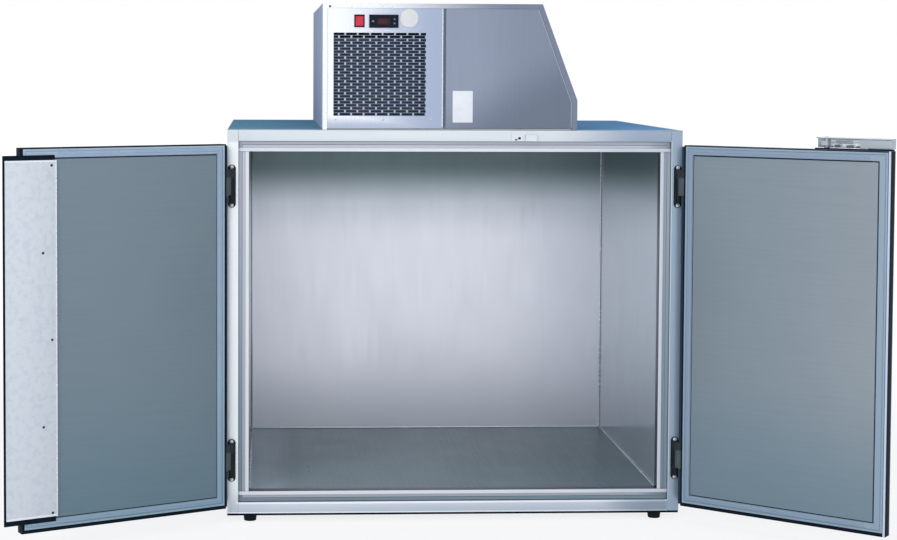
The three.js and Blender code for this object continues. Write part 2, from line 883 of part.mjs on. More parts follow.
function grillePanel() {
  const line = fasciaLine(SEAT);
  const [left, bottom] = line[0];
  const top = line[1][1];
  const panel = foldedPanel(rectangle(left, grille.right, bottom + SEAT, top));
  return punched(panel, front, [...brickSlots(), controlHole(rocker), controlHole(controller)]);
}

// The plain panel's left edge steps back, which leaves an upright groove beside the grille.
function plainFrontPanel() {
  const [, , topRight, kneeRight, lowRight] = fasciaLine(SEAT);
  const bottom = unit.sill + SEAT;
  const top = topRight[1];
  const outline = [
    [plainPanel.left, bottom],
    [lowRight[0], bottom],
    kneeRight,
    topRight,
    [plainPanel.left, top],
  ];
  const grooveBack = front + plainPanel.groove + unit.sheet;
  const strip = block([grille.right + SEAT, plainPanel.left + unit.sheet],
    [front + plainPanel.groove, grooveBack], [bottom, top]);
  return foldedPanel(outline).add(strip);
}

function baseTray() {
  const inner = unit.sheet + SEAT;
  const hole = evaporatorSpan(SEAT);
  const right = unit.width - inner;
  return block([inner, right], [front + inner, unitBack - inner], [0, unit.sheet])
    .add(block([inner + unit.sideBand, right - unit.slopeBand],
      [front, front + inner + unit.sheet], [0, unit.sill - SEAT]))
    .cut(block(hole[0].map((x) => x - unitLeft), hole[1], [-OVERRUN, unit.sill]));
}

function backPanel() {
  const inside = moved(hoodLine(), -unit.sheet - SEAT);
  const bottom = unit.sheet + SEAT;
  const outline = inside.map(([x, z]) => [x, Math.max(z, bottom)]);
  const across = unitTopWidth - 2 * vent.margin - (vent.columns - 1) * vent.apart;
  const length = across / vent.columns;
  const holes = [];
  for (let column = 0; column < vent.columns; column += 1) {
    for (let row = 0; row < vent.rows; row += 1) {
      const left = vent.margin + column * (length + vent.apart);
      const low = vent.bottom + inlet.bottom + row * vent.rowPitch;
      holes.push([left, left + length, low, low + vent.height]);
    }
  }
  const { left, low } = inletPlace();
  holes.push([left + inlet.rim - SEAT, left + inlet.width - inlet.rim + SEAT,
    low + inlet.rim - SEAT, low + inlet.height - inlet.rim + SEAT]);
  return punched(prism(outline, 'y', [unitBack - unit.sheet, unitBack]), unitBack, holes);
}

function inletPlace() {
  return { left: unit.width - inlet.fromRight - inlet.width, low: inlet.bottom };
}

function powerInlet() {
  const { left, low } = inletPlace();
  const right = left + inlet.width;
  const high = low + inlet.height;
  const face = unitBack + SEAT;
  const bodyFront = face - inlet.depth;
  const mouth = face + inlet.rim;
  const body = block([left, right], [face, mouth], [low, high])
    .add(block([left + inlet.rim, right - inlet.rim], [bodyFront, mouth],
      [low + inlet.rim, high - inlet.rim]))
    .cut(block([left + inlet.rim + inlet.wall, right - inlet.rim - inlet.wall],
      [mouth - inlet.pocket, mouth + OVERRUN],
      [low + inlet.rim + inlet.wall / 2, high - inlet.rim - inlet.wall / 2]));
  const middle = (left + right) / 2;
  const height = (low + high) / 2;
  const pins = [-1, 0, 1].map((place_) => block(
    [middle + place_ * inlet.pinPitch - inlet.pinWidth / 2,
      middle + place_ * inlet.pinPitch + inlet.pinWidth / 2],
    [mouth - inlet.pocket - inlet.wall / 2, mouth - inlet.rim],
    [height - inlet.pinHeight / 2, height + inlet.pinHeight / 2],
  ));
  return body.add(...pins);
}

function switchBezel() {
  const { left, bottom, width, height, rim: rise, border, bodyInset, bodyDepth, pocket } = rocker;
  const right = left + width;
  const top = bottom + height;
  const face = front - SEAT;
  return block([left, right], [face - rise, face], [bottom, top])
    .add(block([left + bodyInset, right - bodyInset], [face - rise, face + bodyDepth],
      [bottom + bodyInset, top - bodyInset]))
    .cut(block([left + border, right - border], [face - rise - OVERRUN, face + pocket],
      [bottom + border, top - border]));
}

// The rocker's face is a shallow V, so one half stands proud when the other is pressed.
function switchRocker() {
  const group = new THREE.Group();
  const inset = rocker.border + RUNNING;
  const halfWidth = rocker.width / 2 - inset;
  const halfHeight = rocker.height / 2 - inset;
  const drop = halfHeight * Math.tan(THREE.MathUtils.degToRad(rocker.tilt));
  const profile = [
    [-rocker.crown + drop / 2, 0],
    [-rocker.crown, -halfHeight + RUNNING],
    [rocker.crownThickness - rocker.crown, -halfHeight + 2 * RUNNING],
    [rocker.crownThickness, 0],
    [rocker.crownThickness - rocker.crown, halfHeight - 2 * RUNNING],
    [-rocker.crown, halfHeight - RUNNING],
  ];
  const body = prism(profile, 'x', [-halfWidth, halfWidth]);
  place(group, 'power_rocker', body, finish.red);
  group.position.set(rocker.left + rocker.width / 2, front - SEAT, rocker.bottom + rocker.height / 2);
  group.rotation.x = THREE.MathUtils.degToRad(rocker.tilt);
  return group;
}

// The three keys' centres on the controller: one left of the window and two right of it
function keyPlaces() {
  const { left, width, height, bottom, keyInset, keyWidth, keyHeight, keyRowGap } = controller;
  const middle = bottom + height / 2;
  const leftX = left + keyInset + keyWidth / 2;
  const rightX = left + width - keyInset - keyWidth / 2;
  const step = (keyHeight + keyRowGap) / 2;
  return { set: [leftX, middle], up: [rightX, middle + step], down: [rightX, middle - step] };
}

function controllerCase() {
  const c = controller;
  const face = front - SEAT;
  const right = c.left + c.width;
  const top = c.bottom + c.height;
  const keyFloor = face - c.rim + c.keyLength + c.keyTravel;
  const window = block([c.left + c.windowLeft, c.left + c.windowLeft + c.windowWidth],
    [face - c.rim - OVERRUN, face - c.rim + c.windowDepth],
    [c.bottom + c.windowBottom, c.bottom + c.windowBottom + c.windowHeight]);
  const wells = Object.values(keyPlaces()).map(([x, z]) => block(
    [x - c.keyWidth / 2 - SEAT, x + c.keyWidth / 2 + SEAT],
    [face - c.rim - OVERRUN, keyFloor],
    [z - c.keyHeight / 2 - SEAT, z + c.keyHeight / 2 + SEAT],
  ));
  return block([c.left, right], [face - c.rim, face], [c.bottom, top])
    .add(block([c.left + c.bodyInset, right - c.bodyInset], [face - c.rim, face + c.bodyDepth],
      [c.bottom + c.bodyInset, top - c.bodyInset]))
    .cut(window, ...wells);
}

function controllerKey([x, z]) {
  const c = controller;
  const face = front - SEAT - c.rim;
  return block([x - c.keyWidth / 2, x + c.keyWidth / 2],
    [face - c.keyProud, face + c.keyLength - c.keyProud],
    [z - c.keyHeight / 2, z + c.keyHeight / 2]);
}

// The condenser: a finned core between two end plates, with its tubes' return bends outside
function condenserCoil() {
  const c = condenser;
  const near = front + c.setBack;
  const far = near + c.thickness;
  const low = unit.sheet + SEAT;
  const high = low + c.height;
  const right = c.left + c.width;
  const over = c.endPlateOver;
  const plates = [c.left, right - c.endPlate].map((x) =>
    block([x, x + c.endPlate], [near - over / 2, far], [low, high]));
  const core = block([c.left, right], [near, far - over / 2], [low + over, high - over]);
  const pitch = (c.height - 2 * over) / c.tubeRows;
  const bends = [];
  for (let row = 0; row < c.tubeRows; row += 1) {
    const z = low + over + pitch * (row + 0.5);
    const y = (near + far) / 2;
    bends.push(rod(c.tubeRadius, 'x', [c.left - c.tubeReach, right + c.tubeReach], [y, z], 10));
  }
  return core.add(...plates, ...bends);
}

// Where a fan's disc lies behind the coil
function warmFanPlace() {
  const near = front + condenser.setBack + condenser.thickness + SEAT;
  const height = unit.sheet + SEAT + condenser.height / 2;
  return { near, x: condenser.left + condenser.width / 2, z: height };
}

function motorOnStruts(centre, axis, from, to, reach, plane) {
  const { motorRadius, strut } = shroud;
  const [p, q] = centre;
  const motor = rod(motorRadius, axis, [from, to], centre);
  const arms = [
    [[p - reach, p + reach], [q - strut / 2, q + strut / 2]],
    [[p - strut / 2, p + strut / 2], [q - reach, q + reach]],
  ].map(([first, second]) => (axis === 'y' ? block(first, plane, second) : block(first, second, plane)));
  return motor.add(...arms);
}

function condenserShroud() {
  const { near, x, z } = warmFanPlace();
  const far = near + shroud.thickness;
  const c = condenser;
  const low = unit.sheet + SEAT;
  const motorNear = far + shroud.motorGap;
  const reach = shroud.throat + shroud.strut;
  const box = block([c.left, c.left + c.width], [near, far], [low, low + c.height])
    .cut(rod(shroud.throat, 'y', [near - OVERRUN, far + OVERRUN], [x, z], 32));
  const posts = [[1, 0], [-1, 0], [0, 1], [0, -1]].map(([i, k]) => {
    const half = shroud.strut / 2;
    const [px, pz] = [x + i * reach, z + k * reach];
    return block([px - half, px + half], [far - shroud.plate, motorNear + shroud.strut],
      [pz - half, pz + half]);
  });
  return box.add(...posts,
    motorOnStruts([x, z], 'y', motorNear, motorNear + shroud.motorLength, reach,
      [motorNear, motorNear + shroud.strut]));
}

// A fan about its own axis: a hub with a shaft stub, and flat blades set at an angle
function fanSolid(radius, shaftReach) {
  const half = blade.hubLength / 2;
  const hub = rod(blade.hubRadius, 'z', [-half, half], [0, 0], 20)
    .add(rod(shaft.radius, 'z', [-half, half + shaftReach], [0, 0], 12));
  const root = blade.hubRadius - blade.sheet;
  const middle = (root + radius) / 2;
  const outline = [
    [root, -blade.root / 2],
    [middle, -blade.tip / 2],
    [radius - blade.sheet, -blade.tip / 3],
    [radius, 0],
    [radius - blade.sheet, blade.tip / 3],
    [middle, blade.tip / 3],
    [root, blade.root / 2],
  ].map(([along, across]) => [along, across * Math.min(1, radius / (blade.tip * bladeTipShare))]);
  const blades = [];
  for (let turn = 0; turn < blade.count; turn += 1) {
    const shape = new THREE.Shape(outline.map(([p, q]) => new THREE.Vector2(p, q)));
    const plate = new THREE.ExtrudeGeometry(shape, { depth: blade.sheet, bevelEnabled: false });
    plate.translate(0, 0, -blade.sheet / 2)
      .rotateX(THREE.MathUtils.degToRad(blade.pitch))
      .rotateZ((2 * Math.PI * turn) / blade.count);
    blades.push(Solid.from(plate));
  }
  return hub.add(...blades);
}

function hermeticCompressor() {
  const c = compressor;
  const x = c.left + c.plateWidth / 2;
  const y = front + c.setBack + c.plateDepth / 2;
  const low = unit.sheet + SEAT;
  const plateLow = low + c.footRise - c.plate;
  const shell = shellShares.map(([out, up]) => [c.radius * out, c.shell * up]);
  const body = turned(shell, [x, y, plateLow + c.plate / 2], 28);
  const plate = block([c.left, c.left + c.plateWidth], [y - c.plateDepth / 2, y + c.plateDepth / 2],
    [plateLow, plateLow + c.plate]);
  const inset = c.grommet * grommetShare;
  const grommets = [[-1, -1], [1, -1], [-1, 1], [1, 1]].map(([i, k]) => rod(c.grommet, 'z',
    [low, plateLow + c.plate / 2],
    [x + i * (c.plateWidth / 2 - inset), y + k * (c.plateDepth / 2 - inset)], 12));
  const middle = plateLow + c.shell * terminalShare;
  const box = block([x - c.radius - c.boxWidth / 2, x - c.radius + c.boxWidth / 2],
    [y - c.boxDepth / 2, y + c.boxDepth / 2], [middle - c.boxHeight / 2, middle + c.boxHeight / 2]);
  const stubs = [-1, 1].map((k) => rod(c.stubRadius, 'z',
    [plateLow + c.shell * stubShare.low, plateLow + c.shell * stubShare.high + c.stubLength],
    [x + c.radius * stubShare.out, y + k * c.radius * stubShare.apart], 10));
  return plate.add(...grommets, body, box, ...stubs);
}

// The evaporator box is drawn in the cabinet's own frame, because it passes through its roof.
function coldSection() {
  const group = new THREE.Group();
  const [[x0, x1], [y0, y1]] = evaporatorSpan(0);
  const low = ceiling + casing.liner + SEAT;
  const top = unitFloor + evaporator.rise;
  const inner = evaporatorSpan(-evaporator.wall);
  const box = block([x0, x1], [y0, y1], [low, top])
    .cut(block(...inner, [low - OVERRUN, top - evaporator.wall]));
  place(group, 'evaporator_box', box, finish.foam);

  const [[ix0, ix1], [iy0, iy1]] = inner;
  const coilLow = low + evaporator.coilLift;
  const coil = coilBlock([ix0 + SEAT, ix1 - SEAT],
    [iy1 - SEAT - evaporator.coilDepth, iy1 - SEAT], [coilLow, coilLow + evaporator.coilHeight]);
  place(group, 'evaporator_coil', coil, finish.fins);

  const fanX = (ix0 + ix1) / 2;
  const fanY = iy0 + (iy1 - iy0 - evaporator.coilDepth) / 2;
  const plateTop = ceiling - SEAT;
  const plateLow = plateTop - duct.sheet;
  const motorLow = plateTop + duct.postLift;
  const reach = coldFan.throat + duct.post / 2;
  const plateSpan = evaporatorSpan(duct.overhang);
  const slots = [];
  for (let n = 0; n < duct.slotCount; n += 1) {
    const y = iy1 - duct.slotWidth - n * duct.slotPitch;
    slots.push(block([fanX - duct.slotLength / 2, fanX + duct.slotLength / 2],
      [y - duct.slotWidth, y], [plateLow - OVERRUN, plateTop + OVERRUN]));
  }
  const posts = [[1, 0], [-1, 0], [0, 1], [0, -1]].map(([i, k]) => {
    const half = duct.post / 2;
    const [px, py] = [fanX + i * reach, fanY + k * reach];
    return block([px - half, px + half], [py - half, py + half],
      [plateLow, motorLow + shroud.strut]);
  });
  const plate = block(...plateSpan, [plateLow, plateTop])
    .cut(rod(coldFan.throat - duct.post, 'z', [plateLow - OVERRUN, plateTop + OVERRUN], [fanX, fanY], 32))
    .cut(...slots)
    .add(...posts)
    .add(motorOnStruts([fanX, fanY], 'z', motorLow, motorLow + shroud.motorLength, reach,
      [motorLow, motorLow + shroud.strut]))
    .cut(rod(shaft.radius + SEAT, 'z', [motorLow - OVERRUN, motorLow + shaft.reach + SEAT],
      [fanX, fanY], 12));
  place(group, 'ceiling_grille', plate, finish.galvanised);

  const fan = new THREE.Group();
  const gap = shroud.motorGap;
  place(fan, 'evaporator_fan', fanSolid(coldFan.radius, gap + shaft.reach), finish.fanPlastic);
  fan.position.set(fanX, fanY, motorLow - gap - blade.hubLength / 2);
  group.add(fan);
  return group;
}

// A coil as a solid core with deep cuts between every few fins
function coilBlock([x0, x1], [y0, y1], [z0, z1]) {
  const count = Math.floor((x1 - x0 - evaporator.fin) / evaporator.finPitch);
  const cuts = [];
  for (let n = 0; n < count; n += 1) {
    const x = x0 + evaporator.fin + n * evaporator.finPitch;
    cuts.push(block([x, x + evaporator.finPitch - evaporator.fin],
      [y0 - OVERRUN, y0 + (y1 - y0) / 4], [z0 + evaporator.fin, z1 - evaporator.fin]));
  }
  return block([x0, x1], [y0, y1], [z0, z1]).cut(...cuts);
}

function refrigerationUnit() {
  const group = new THREE.Group();
  place(group, 'unit_base', baseTray(), finish.galvanised);
  place(group, 'unit_hood', hoodShell(), finish.brightSteel);
  place(group, 'grille_panel', grillePanel(), finish.brightSteel);
  place(group, 'plain_panel', plainFrontPanel(), finish.sideSteel);
  place(group, 'unit_back_panel', backPanel(), finish.galvanised);
  place(group, 'power_inlet', powerInlet(), finish.black);
  place(group, 'switch_bezel', switchBezel(), finish.black);
  group.add(switchRocker());
  place(group, 'controller_case', controllerCase(), finish.black);
  for (const [name, at] of Object.entries(keyPlaces())) {
    place(group, `key_${name}`, controllerKey(at), finish.hingeGrey);
  }
  place(group, 'condenser_coil', condenserCoil(), finish.fins);
  const { near, x, z } = warmFanPlace();
  const motorNear = near + shroud.thickness + shroud.motorGap;
  const bearing = rod(shaft.radius + SEAT, 'y', [motorNear - OVERRUN, motorNear + shaft.reach + SEAT],
    [x, z], 12);
  place(group, 'condenser_shroud', condenserShroud().cut(bearing), finish.galvanised);
  const fan = new THREE.Group();
  const hubGap = shroud.motorGap;
  place(fan, 'condenser_fan', fanSolid(warmFan.radius, hubGap + shaft.reach), finish.fanPlastic);
  fan.rotation.x = -Math.PI / 2;
  fan.position.set(x, motorNear - hubGap - blade.hubLength / 2, z);
  group.add(fan);
  place(group, 'compressor', hermeticCompressor(), finish.enamel);
  group.position.set(unitLeft, 0, unitFloor);
  return group;
}

const cooler = new THREE.Group();
cooler.name = 'keg_cooler';
cooler.add(frontFrame());
cooler.add(cabinetShell());
cooler.add(feet());
cooler.add(hingedDoor('left_door', 1, OPEN_LEFT));
cooler.add(hingedDoor('right_door', -1, OPEN_RIGHT));
cooler.add(latchKeeper());
cooler.add(refrigerationUnit());
cooler.add(coldSection());

export default cooler;
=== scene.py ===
"""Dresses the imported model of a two-door keg cooler for rendering.

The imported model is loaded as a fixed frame. Each sub-assembly below is a class that adds or
rebuilds its own pieces in metres, in the row frame, and gives every piece its finish.
"""

from __future__ import annotations

import json
import logging
import math
from dataclasses import dataclass
from enum import Enum
from functools import cache
from typing import Any, Iterable, Sequence

import bmesh
import bpy
from mathutils import Matrix, Vector


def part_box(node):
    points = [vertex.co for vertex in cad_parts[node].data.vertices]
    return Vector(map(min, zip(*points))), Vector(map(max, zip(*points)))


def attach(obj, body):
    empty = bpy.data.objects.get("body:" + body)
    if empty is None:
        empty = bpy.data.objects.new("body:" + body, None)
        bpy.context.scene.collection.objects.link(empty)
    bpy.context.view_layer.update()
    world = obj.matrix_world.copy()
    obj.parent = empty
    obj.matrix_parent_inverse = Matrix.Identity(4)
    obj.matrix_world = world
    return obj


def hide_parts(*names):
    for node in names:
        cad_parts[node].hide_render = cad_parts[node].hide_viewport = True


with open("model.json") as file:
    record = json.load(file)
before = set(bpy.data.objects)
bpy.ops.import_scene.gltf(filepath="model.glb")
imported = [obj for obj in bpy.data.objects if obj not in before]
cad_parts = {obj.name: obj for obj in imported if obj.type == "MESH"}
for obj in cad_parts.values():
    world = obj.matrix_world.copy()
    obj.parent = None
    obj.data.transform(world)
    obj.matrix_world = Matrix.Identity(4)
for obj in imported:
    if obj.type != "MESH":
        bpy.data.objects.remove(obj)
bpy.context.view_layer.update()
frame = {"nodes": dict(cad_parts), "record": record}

LOG = logging.getLogger("keg_cooler")

Colour = tuple[float, float, float]
Point = tuple[float, float, float]

BODY_OF: dict[str, str] = {
    node: body
    for body, nodes in frame["record"]["behaviour"]["bodies"].items()
    for node in nodes
}
SLOT_OF: dict[str, str] = {
    part["node"]: part["material_slot"] for part in frame["record"]["subparts"]
}

# The cabinet's outer faces
FRONT = -0.480
BACK = 0.480
SIDE = 0.590
HEIGHT = 0.995

# Points nearer than this are one, and faces that bend by less than this are one
SAME_PLACE = 2e-6
FLAT = math.radians(0.6)

# Edges that bend by more than this, in radians, are rounded or stay sharp in the shading
SHARP = 0.6
CREASE = math.radians(32)


def srgb(red: int, green: int, blue: int) -> Colour:
    """A colour as it looks on screen, in the linear values that shaders use."""
    shares = (red / 255, green / 255, blue / 255)
    return tuple(s / 12.92 if s <= 0.04045 else ((s + 0.055) / 1.055) ** 2.4 for s in shares)


def show(name: str, data: Any) -> bpy.types.Object:
    """Puts a mesh, lamp or camera into the scene.

    Args:
        name: The object's name.
        data: The mesh, lamp or camera.

    Returns:
        The object.
    """
    thing = bpy.data.objects.new(name, data)
    bpy.context.scene.collection.objects.link(thing)
    return thing


class Side(Enum):
    """Which door, with the sign of the way from its hinge to its free edge."""

    LEFT = 1
    RIGHT = -1

    @property
    def word(self) -> str:
        """The door's name as the nodes spell it."""
        return f"{self.name.lower()}_door"


class Grain(Enum):
    """How a texture is stretched in the row frame, as scales along x, y and z."""

    UPRIGHT = (260.0, 260.0, 5.0)
    ACROSS = (5.0, 260.0, 260.0)
    DEEP = (260.0, 5.0, 260.0)
    LEVEL = (6.0, 6.0, 260.0)
    FINE = (420.0, 420.0, 420.0)


# Shader expressions


class Value:
    """A number socket that Python's own arithmetic is written with."""

    def __init__(self, recipe: "Recipe", socket: bpy.types.NodeSocket) -> None:
        """Keeps the socket with the recipe that its Math nodes are added to."""
        self.recipe = recipe
        self.socket = socket

    def _maths(self, operation: str, *terms: Any) -> "Value":
        """The result of one Math node on the terms."""
        node = self.recipe.node("ShaderNodeMath", {"operation": operation}, dict(enumerate(terms)))
        return Value(self.recipe, node.outputs[0])

    def __add__(self, other: Any) -> "Value":
        """The sum."""
        return self._maths("ADD", self, other)

    __radd__ = __add__

    def __sub__(self, other: Any) -> "Value":
        """The difference."""
        return self._maths("SUBTRACT", self, other)

    def __rsub__(self, other: Any) -> "Value":
        """The difference with this value taken away."""
        return self._maths("SUBTRACT", other, self)

    def __mul__(self, other: Any) -> "Value":
        """The product."""
        return self._maths("MULTIPLY", self, other)

    __rmul__ = __mul__

    def __truediv__(self, other: Any) -> "Value":
        """The quotient."""
        return self._maths("DIVIDE", self, other)

    def __pow__(self, other: float) -> "Value":
        """The power."""
        return self._maths("POWER", self, other)

    def __abs__(self) -> "Value":
        """The size without its sign."""
        return self._maths("ABSOLUTE", self)

    def least(self, other: Any) -> "Value":
        """The smaller of the two."""
        return self._maths("MINIMUM", self, other)

    def most(self, other: Any) -> "Value":
        """The larger of the two."""
        return self._maths("MAXIMUM", self, other)

    def wave(self) -> "Value":
        """The sine."""
        return self._maths("SINE", self)

    def rest(self) -> "Value":
        """What is left after the whole number."""
        return self._maths("FRACT", self)

    def rise(self, start: float, end: float) -> "Value":
        """Goes smoothly from 0 at start to 1 at end, which may be the lower of the two.

        Args:
            start: Where the result is 0.
            end: Where the result is 1.

        Returns:
            The smoothed share between the two.
        """
        node = self.recipe.node(
            "ShaderNodeMapRange",
            {"interpolation_type": "SMOOTHSTEP", "clamp": True},
            {"Value": self, "From Min": start, "From Max": end, "To Min": 0.0, "To Max": 1.0},
        )
        return Value(self.recipe, node.outputs["Result"])

    def within(self, low: float, high: float, soft: float) -> "Value":
        """Is 1 between two values and 0 outside them, with a soft passage at each edge."""
        return self.rise(low - soft, low + soft) * (1 - self.rise(high - soft, high + soft))


class Recipe:
    """The node tree of one material or world, built from expressions."""

    def __init__(self, name: str, world: bool = False) -> None:
        """Starts an empty material or world.

        Args:
            name: Its name.
            world: True for a world.
        """
        owners = bpy.data.worlds if world else bpy.data.materials
        self.owner = owners.new(name)
        self.owner.use_nodes = True
        self.tree = self.owner.node_tree
        self.tree.nodes.clear()
        self.point = self.node("ShaderNodeTexCoord").outputs["Object"]
        parts = self.node("ShaderNodeSeparateXYZ", inputs={0: self.point})
        self.x, self.y, self.z = (Value(self, parts.outputs[i]) for i in range(3))

    def node(
        self,
        kind: str,
        settings: dict[str, Any] | None = None,
        inputs: dict[int | str, Any] | None = None,
    ) -> bpy.types.Node:
        """Makes one node with its settings first and its sockets after them.

        Args:
            kind: The node's type.
            settings: Its properties.
            inputs: Values or links by the socket's number or name.

        Returns:
            The new node.
        """
        node = self.tree.nodes.new(kind)
        for key, value in (settings or {}).items():
            setattr(node, key, value)
        for key, value in (inputs or {}).items():
            socket = node.inputs[key]
            if isinstance(value, Value):
                value = value.socket
            if isinstance(value, bpy.types.NodeSocket):
                self.tree.links.new(value, socket)
            elif socket.type == "RGBA" and len(value) == 3:
                socket.default_value = (*value, 1.0)
            else:
                socket.default_value = value
        return node

    def along(self, direction: Point) -> Value:
        """How far in metres a place lies along a direction of the row frame.

        Args:
            direction: The direction.

        Returns:
            The distance from the frame's origin.
        """
        inputs = {0: self.point, 1: direction}
        node = self.node("ShaderNodeVectorMath", {"operation": "DOT_PRODUCT"}, inputs)
        return Value(self, node.outputs["Value"])

    def noise(self, stretch: Point, detail: float = 2.0, rough: float = 0.5) -> Value:
        """Noise with its own scale along each axis.

        Args:
            stretch: The scales along x, y and z, per metre.
            detail: The number of finer layers.
            rough: How strong the finer layers are.

        Returns:
            The noise from 0 to 1.
        """
        mapped = self.node("ShaderNodeMapping", inputs={"Vector": self.point, "Scale": stretch})
        noise = self.node(
            "ShaderNodeTexNoise",
            inputs={"Vector": mapped.outputs[0], "Scale": 1.0, "Detail": detail, "Roughness": rough},
        )
        return Value(self, noise.outputs["Fac"])

    def cells(self, size: float) -> Value:
        """The distance to the nearest cell's middle, with so many cells in a metre."""
        node = self.node("ShaderNodeTexVoronoi", inputs={"Vector": self.point, "Scale": size})
        return Value(self, node.outputs["Distance"])

    def mix(self, share: Any, first: Any, second: Any, how: str = "MIX") -> bpy.types.NodeSocket:
        """Mixes two colours.

        Args:
            share: How much of the second colour shows.
            first: A colour or a link.
            second: A colour or a link.
            how: The Mix node's blend type.

        Returns:
            The mixed colour's socket.
        """
        settings = {"data_type": "RGBA", "blend_type": how, "clamp_factor": True}
        node = self.node("ShaderNodeMix", settings, {0: share, 6: first, 7: second})
        return node.outputs[2]

    def layers(self, colour: Any, *layers: tuple[Any, Any]) -> Any:
        """Lays colours over another.

        Args:
            colour: The colour beneath.
            *layers: The share and the colour of each layer, in order.

        Returns:
            The colour that shows.
        """
        for share, tone in layers:
            colour = self.mix(share, colour, tone)
        return colour

    def bump(self, height: Value, distance: float, strength: float) -> bpy.types.NodeSocket:
        """A normal bent by a height from 0 to 1, where 1 stands for the distance in metres."""
        inputs = {"Height": height, "Distance": distance, "Strength": strength}
        return self.node("ShaderNodeBump", inputs=inputs).outputs["Normal"]

    def seen(self) -> Value:
        """Tells what the camera sees, by itself or in a mirror or glass, from light.

        Returns:
            1 for what is seen and 0 for light.
        """
        path = self.node("ShaderNodeLightPath")
        seen = Value(self, path.outputs["Is Camera Ray"])
        for kind in ("Is Glossy Ray", "Is Transmission Ray"):
            seen = seen.most(path.outputs[kind])
        return seen

    def close(self, colour: Any, **sockets: Any) -> bpy.types.Material:
        """Adds the surface shader and the output.

        Args:
            colour: The base colour or its link.
            **sockets: The shader's other sockets, with _ for a space in a name.

        Returns:
            The finished material.
        """
        inputs = {name.replace("_", " "): value for name, value in sockets.items()}
        shader = self.node("ShaderNodeBsdfPrincipled", inputs={"Base Color": colour, **inputs})
        self.node("ShaderNodeOutputMaterial", inputs={"Surface": shader.outputs[0]})
        return self.owner


# Finishes


@dataclass(frozen=True)
class Wash:
    """A smooth passage towards a colour along one direction of the row frame."""

    along: Point
    start: float
    end: float
    colour: Colour
    amount: float = 1.0

    def share(self, recipe: Recipe) -> Value:
        """How much of the wash lies at each place."""
        return recipe.along(self.along).rise(self.start, self.end) * self.amount


def washed(recipe: Recipe, washes: Iterable[Wash], colour: Any) -> Any:
    """The colour with the washes over it in their order."""
    return recipe.layers(colour, *((wash.share(recipe), wash.colour) for wash in washes))


@dataclass(frozen=True)
class BrushedSteel:
    """Stainless sheet with a fine one-way grain, soft clouding and faint smears."""

    name: str
    colour: Colour
    grain: Grain = Grain.UPRIGHT
    metallic: float = 0.55
    roughness: float = 0.34
    streak: float = 0.10
    cloud: float = 0.08
    cloud_size: Point = (3.0, 3.0, 3.0)
    washes: tuple[Wash, ...] = ()
    gloss: float = 0.5
    dull: Wash | None = None
    soil: Colour = (0.62, 0.66, 0.72)

    def make(self) -> bpy.types.Material:
        """Builds the material.

        Returns:
            The material.
        """
        recipe = Recipe(self.name)
        metallic: Any = self.metallic
        if self.dull:
            metallic = (1 - self.dull.share(recipe)) * self.metallic
        fine = recipe.noise(self.grain.value, 3.0, 0.6)
        broad = recipe.noise(self.cloud_size, 2.0)
        smear = recipe.noise((9.0, 9.0, 5.0), 4.0, 0.65)
        colour = washed(recipe, self.washes, self.colour)
        dark = recipe.mix(1.0, colour, self.soil, "MULTIPLY")
        streaks = fine.rise(0.35, 0.7) * self.streak
        colour = recipe.layers(
            colour, (streaks, dark), (broad.rise(0.4, 0.75) * self.cloud, dark)
        )
        rough = self.roughness + (fine - 0.5) * 0.16 + (smear - 0.5) * 0.14
        return recipe.close(
            colour, Roughness=rough.most(0.08), Metallic=metallic,
            Specular_IOR_Level=self.gloss, Normal=recipe.bump(fine, 0.00025, 0.2),
        )


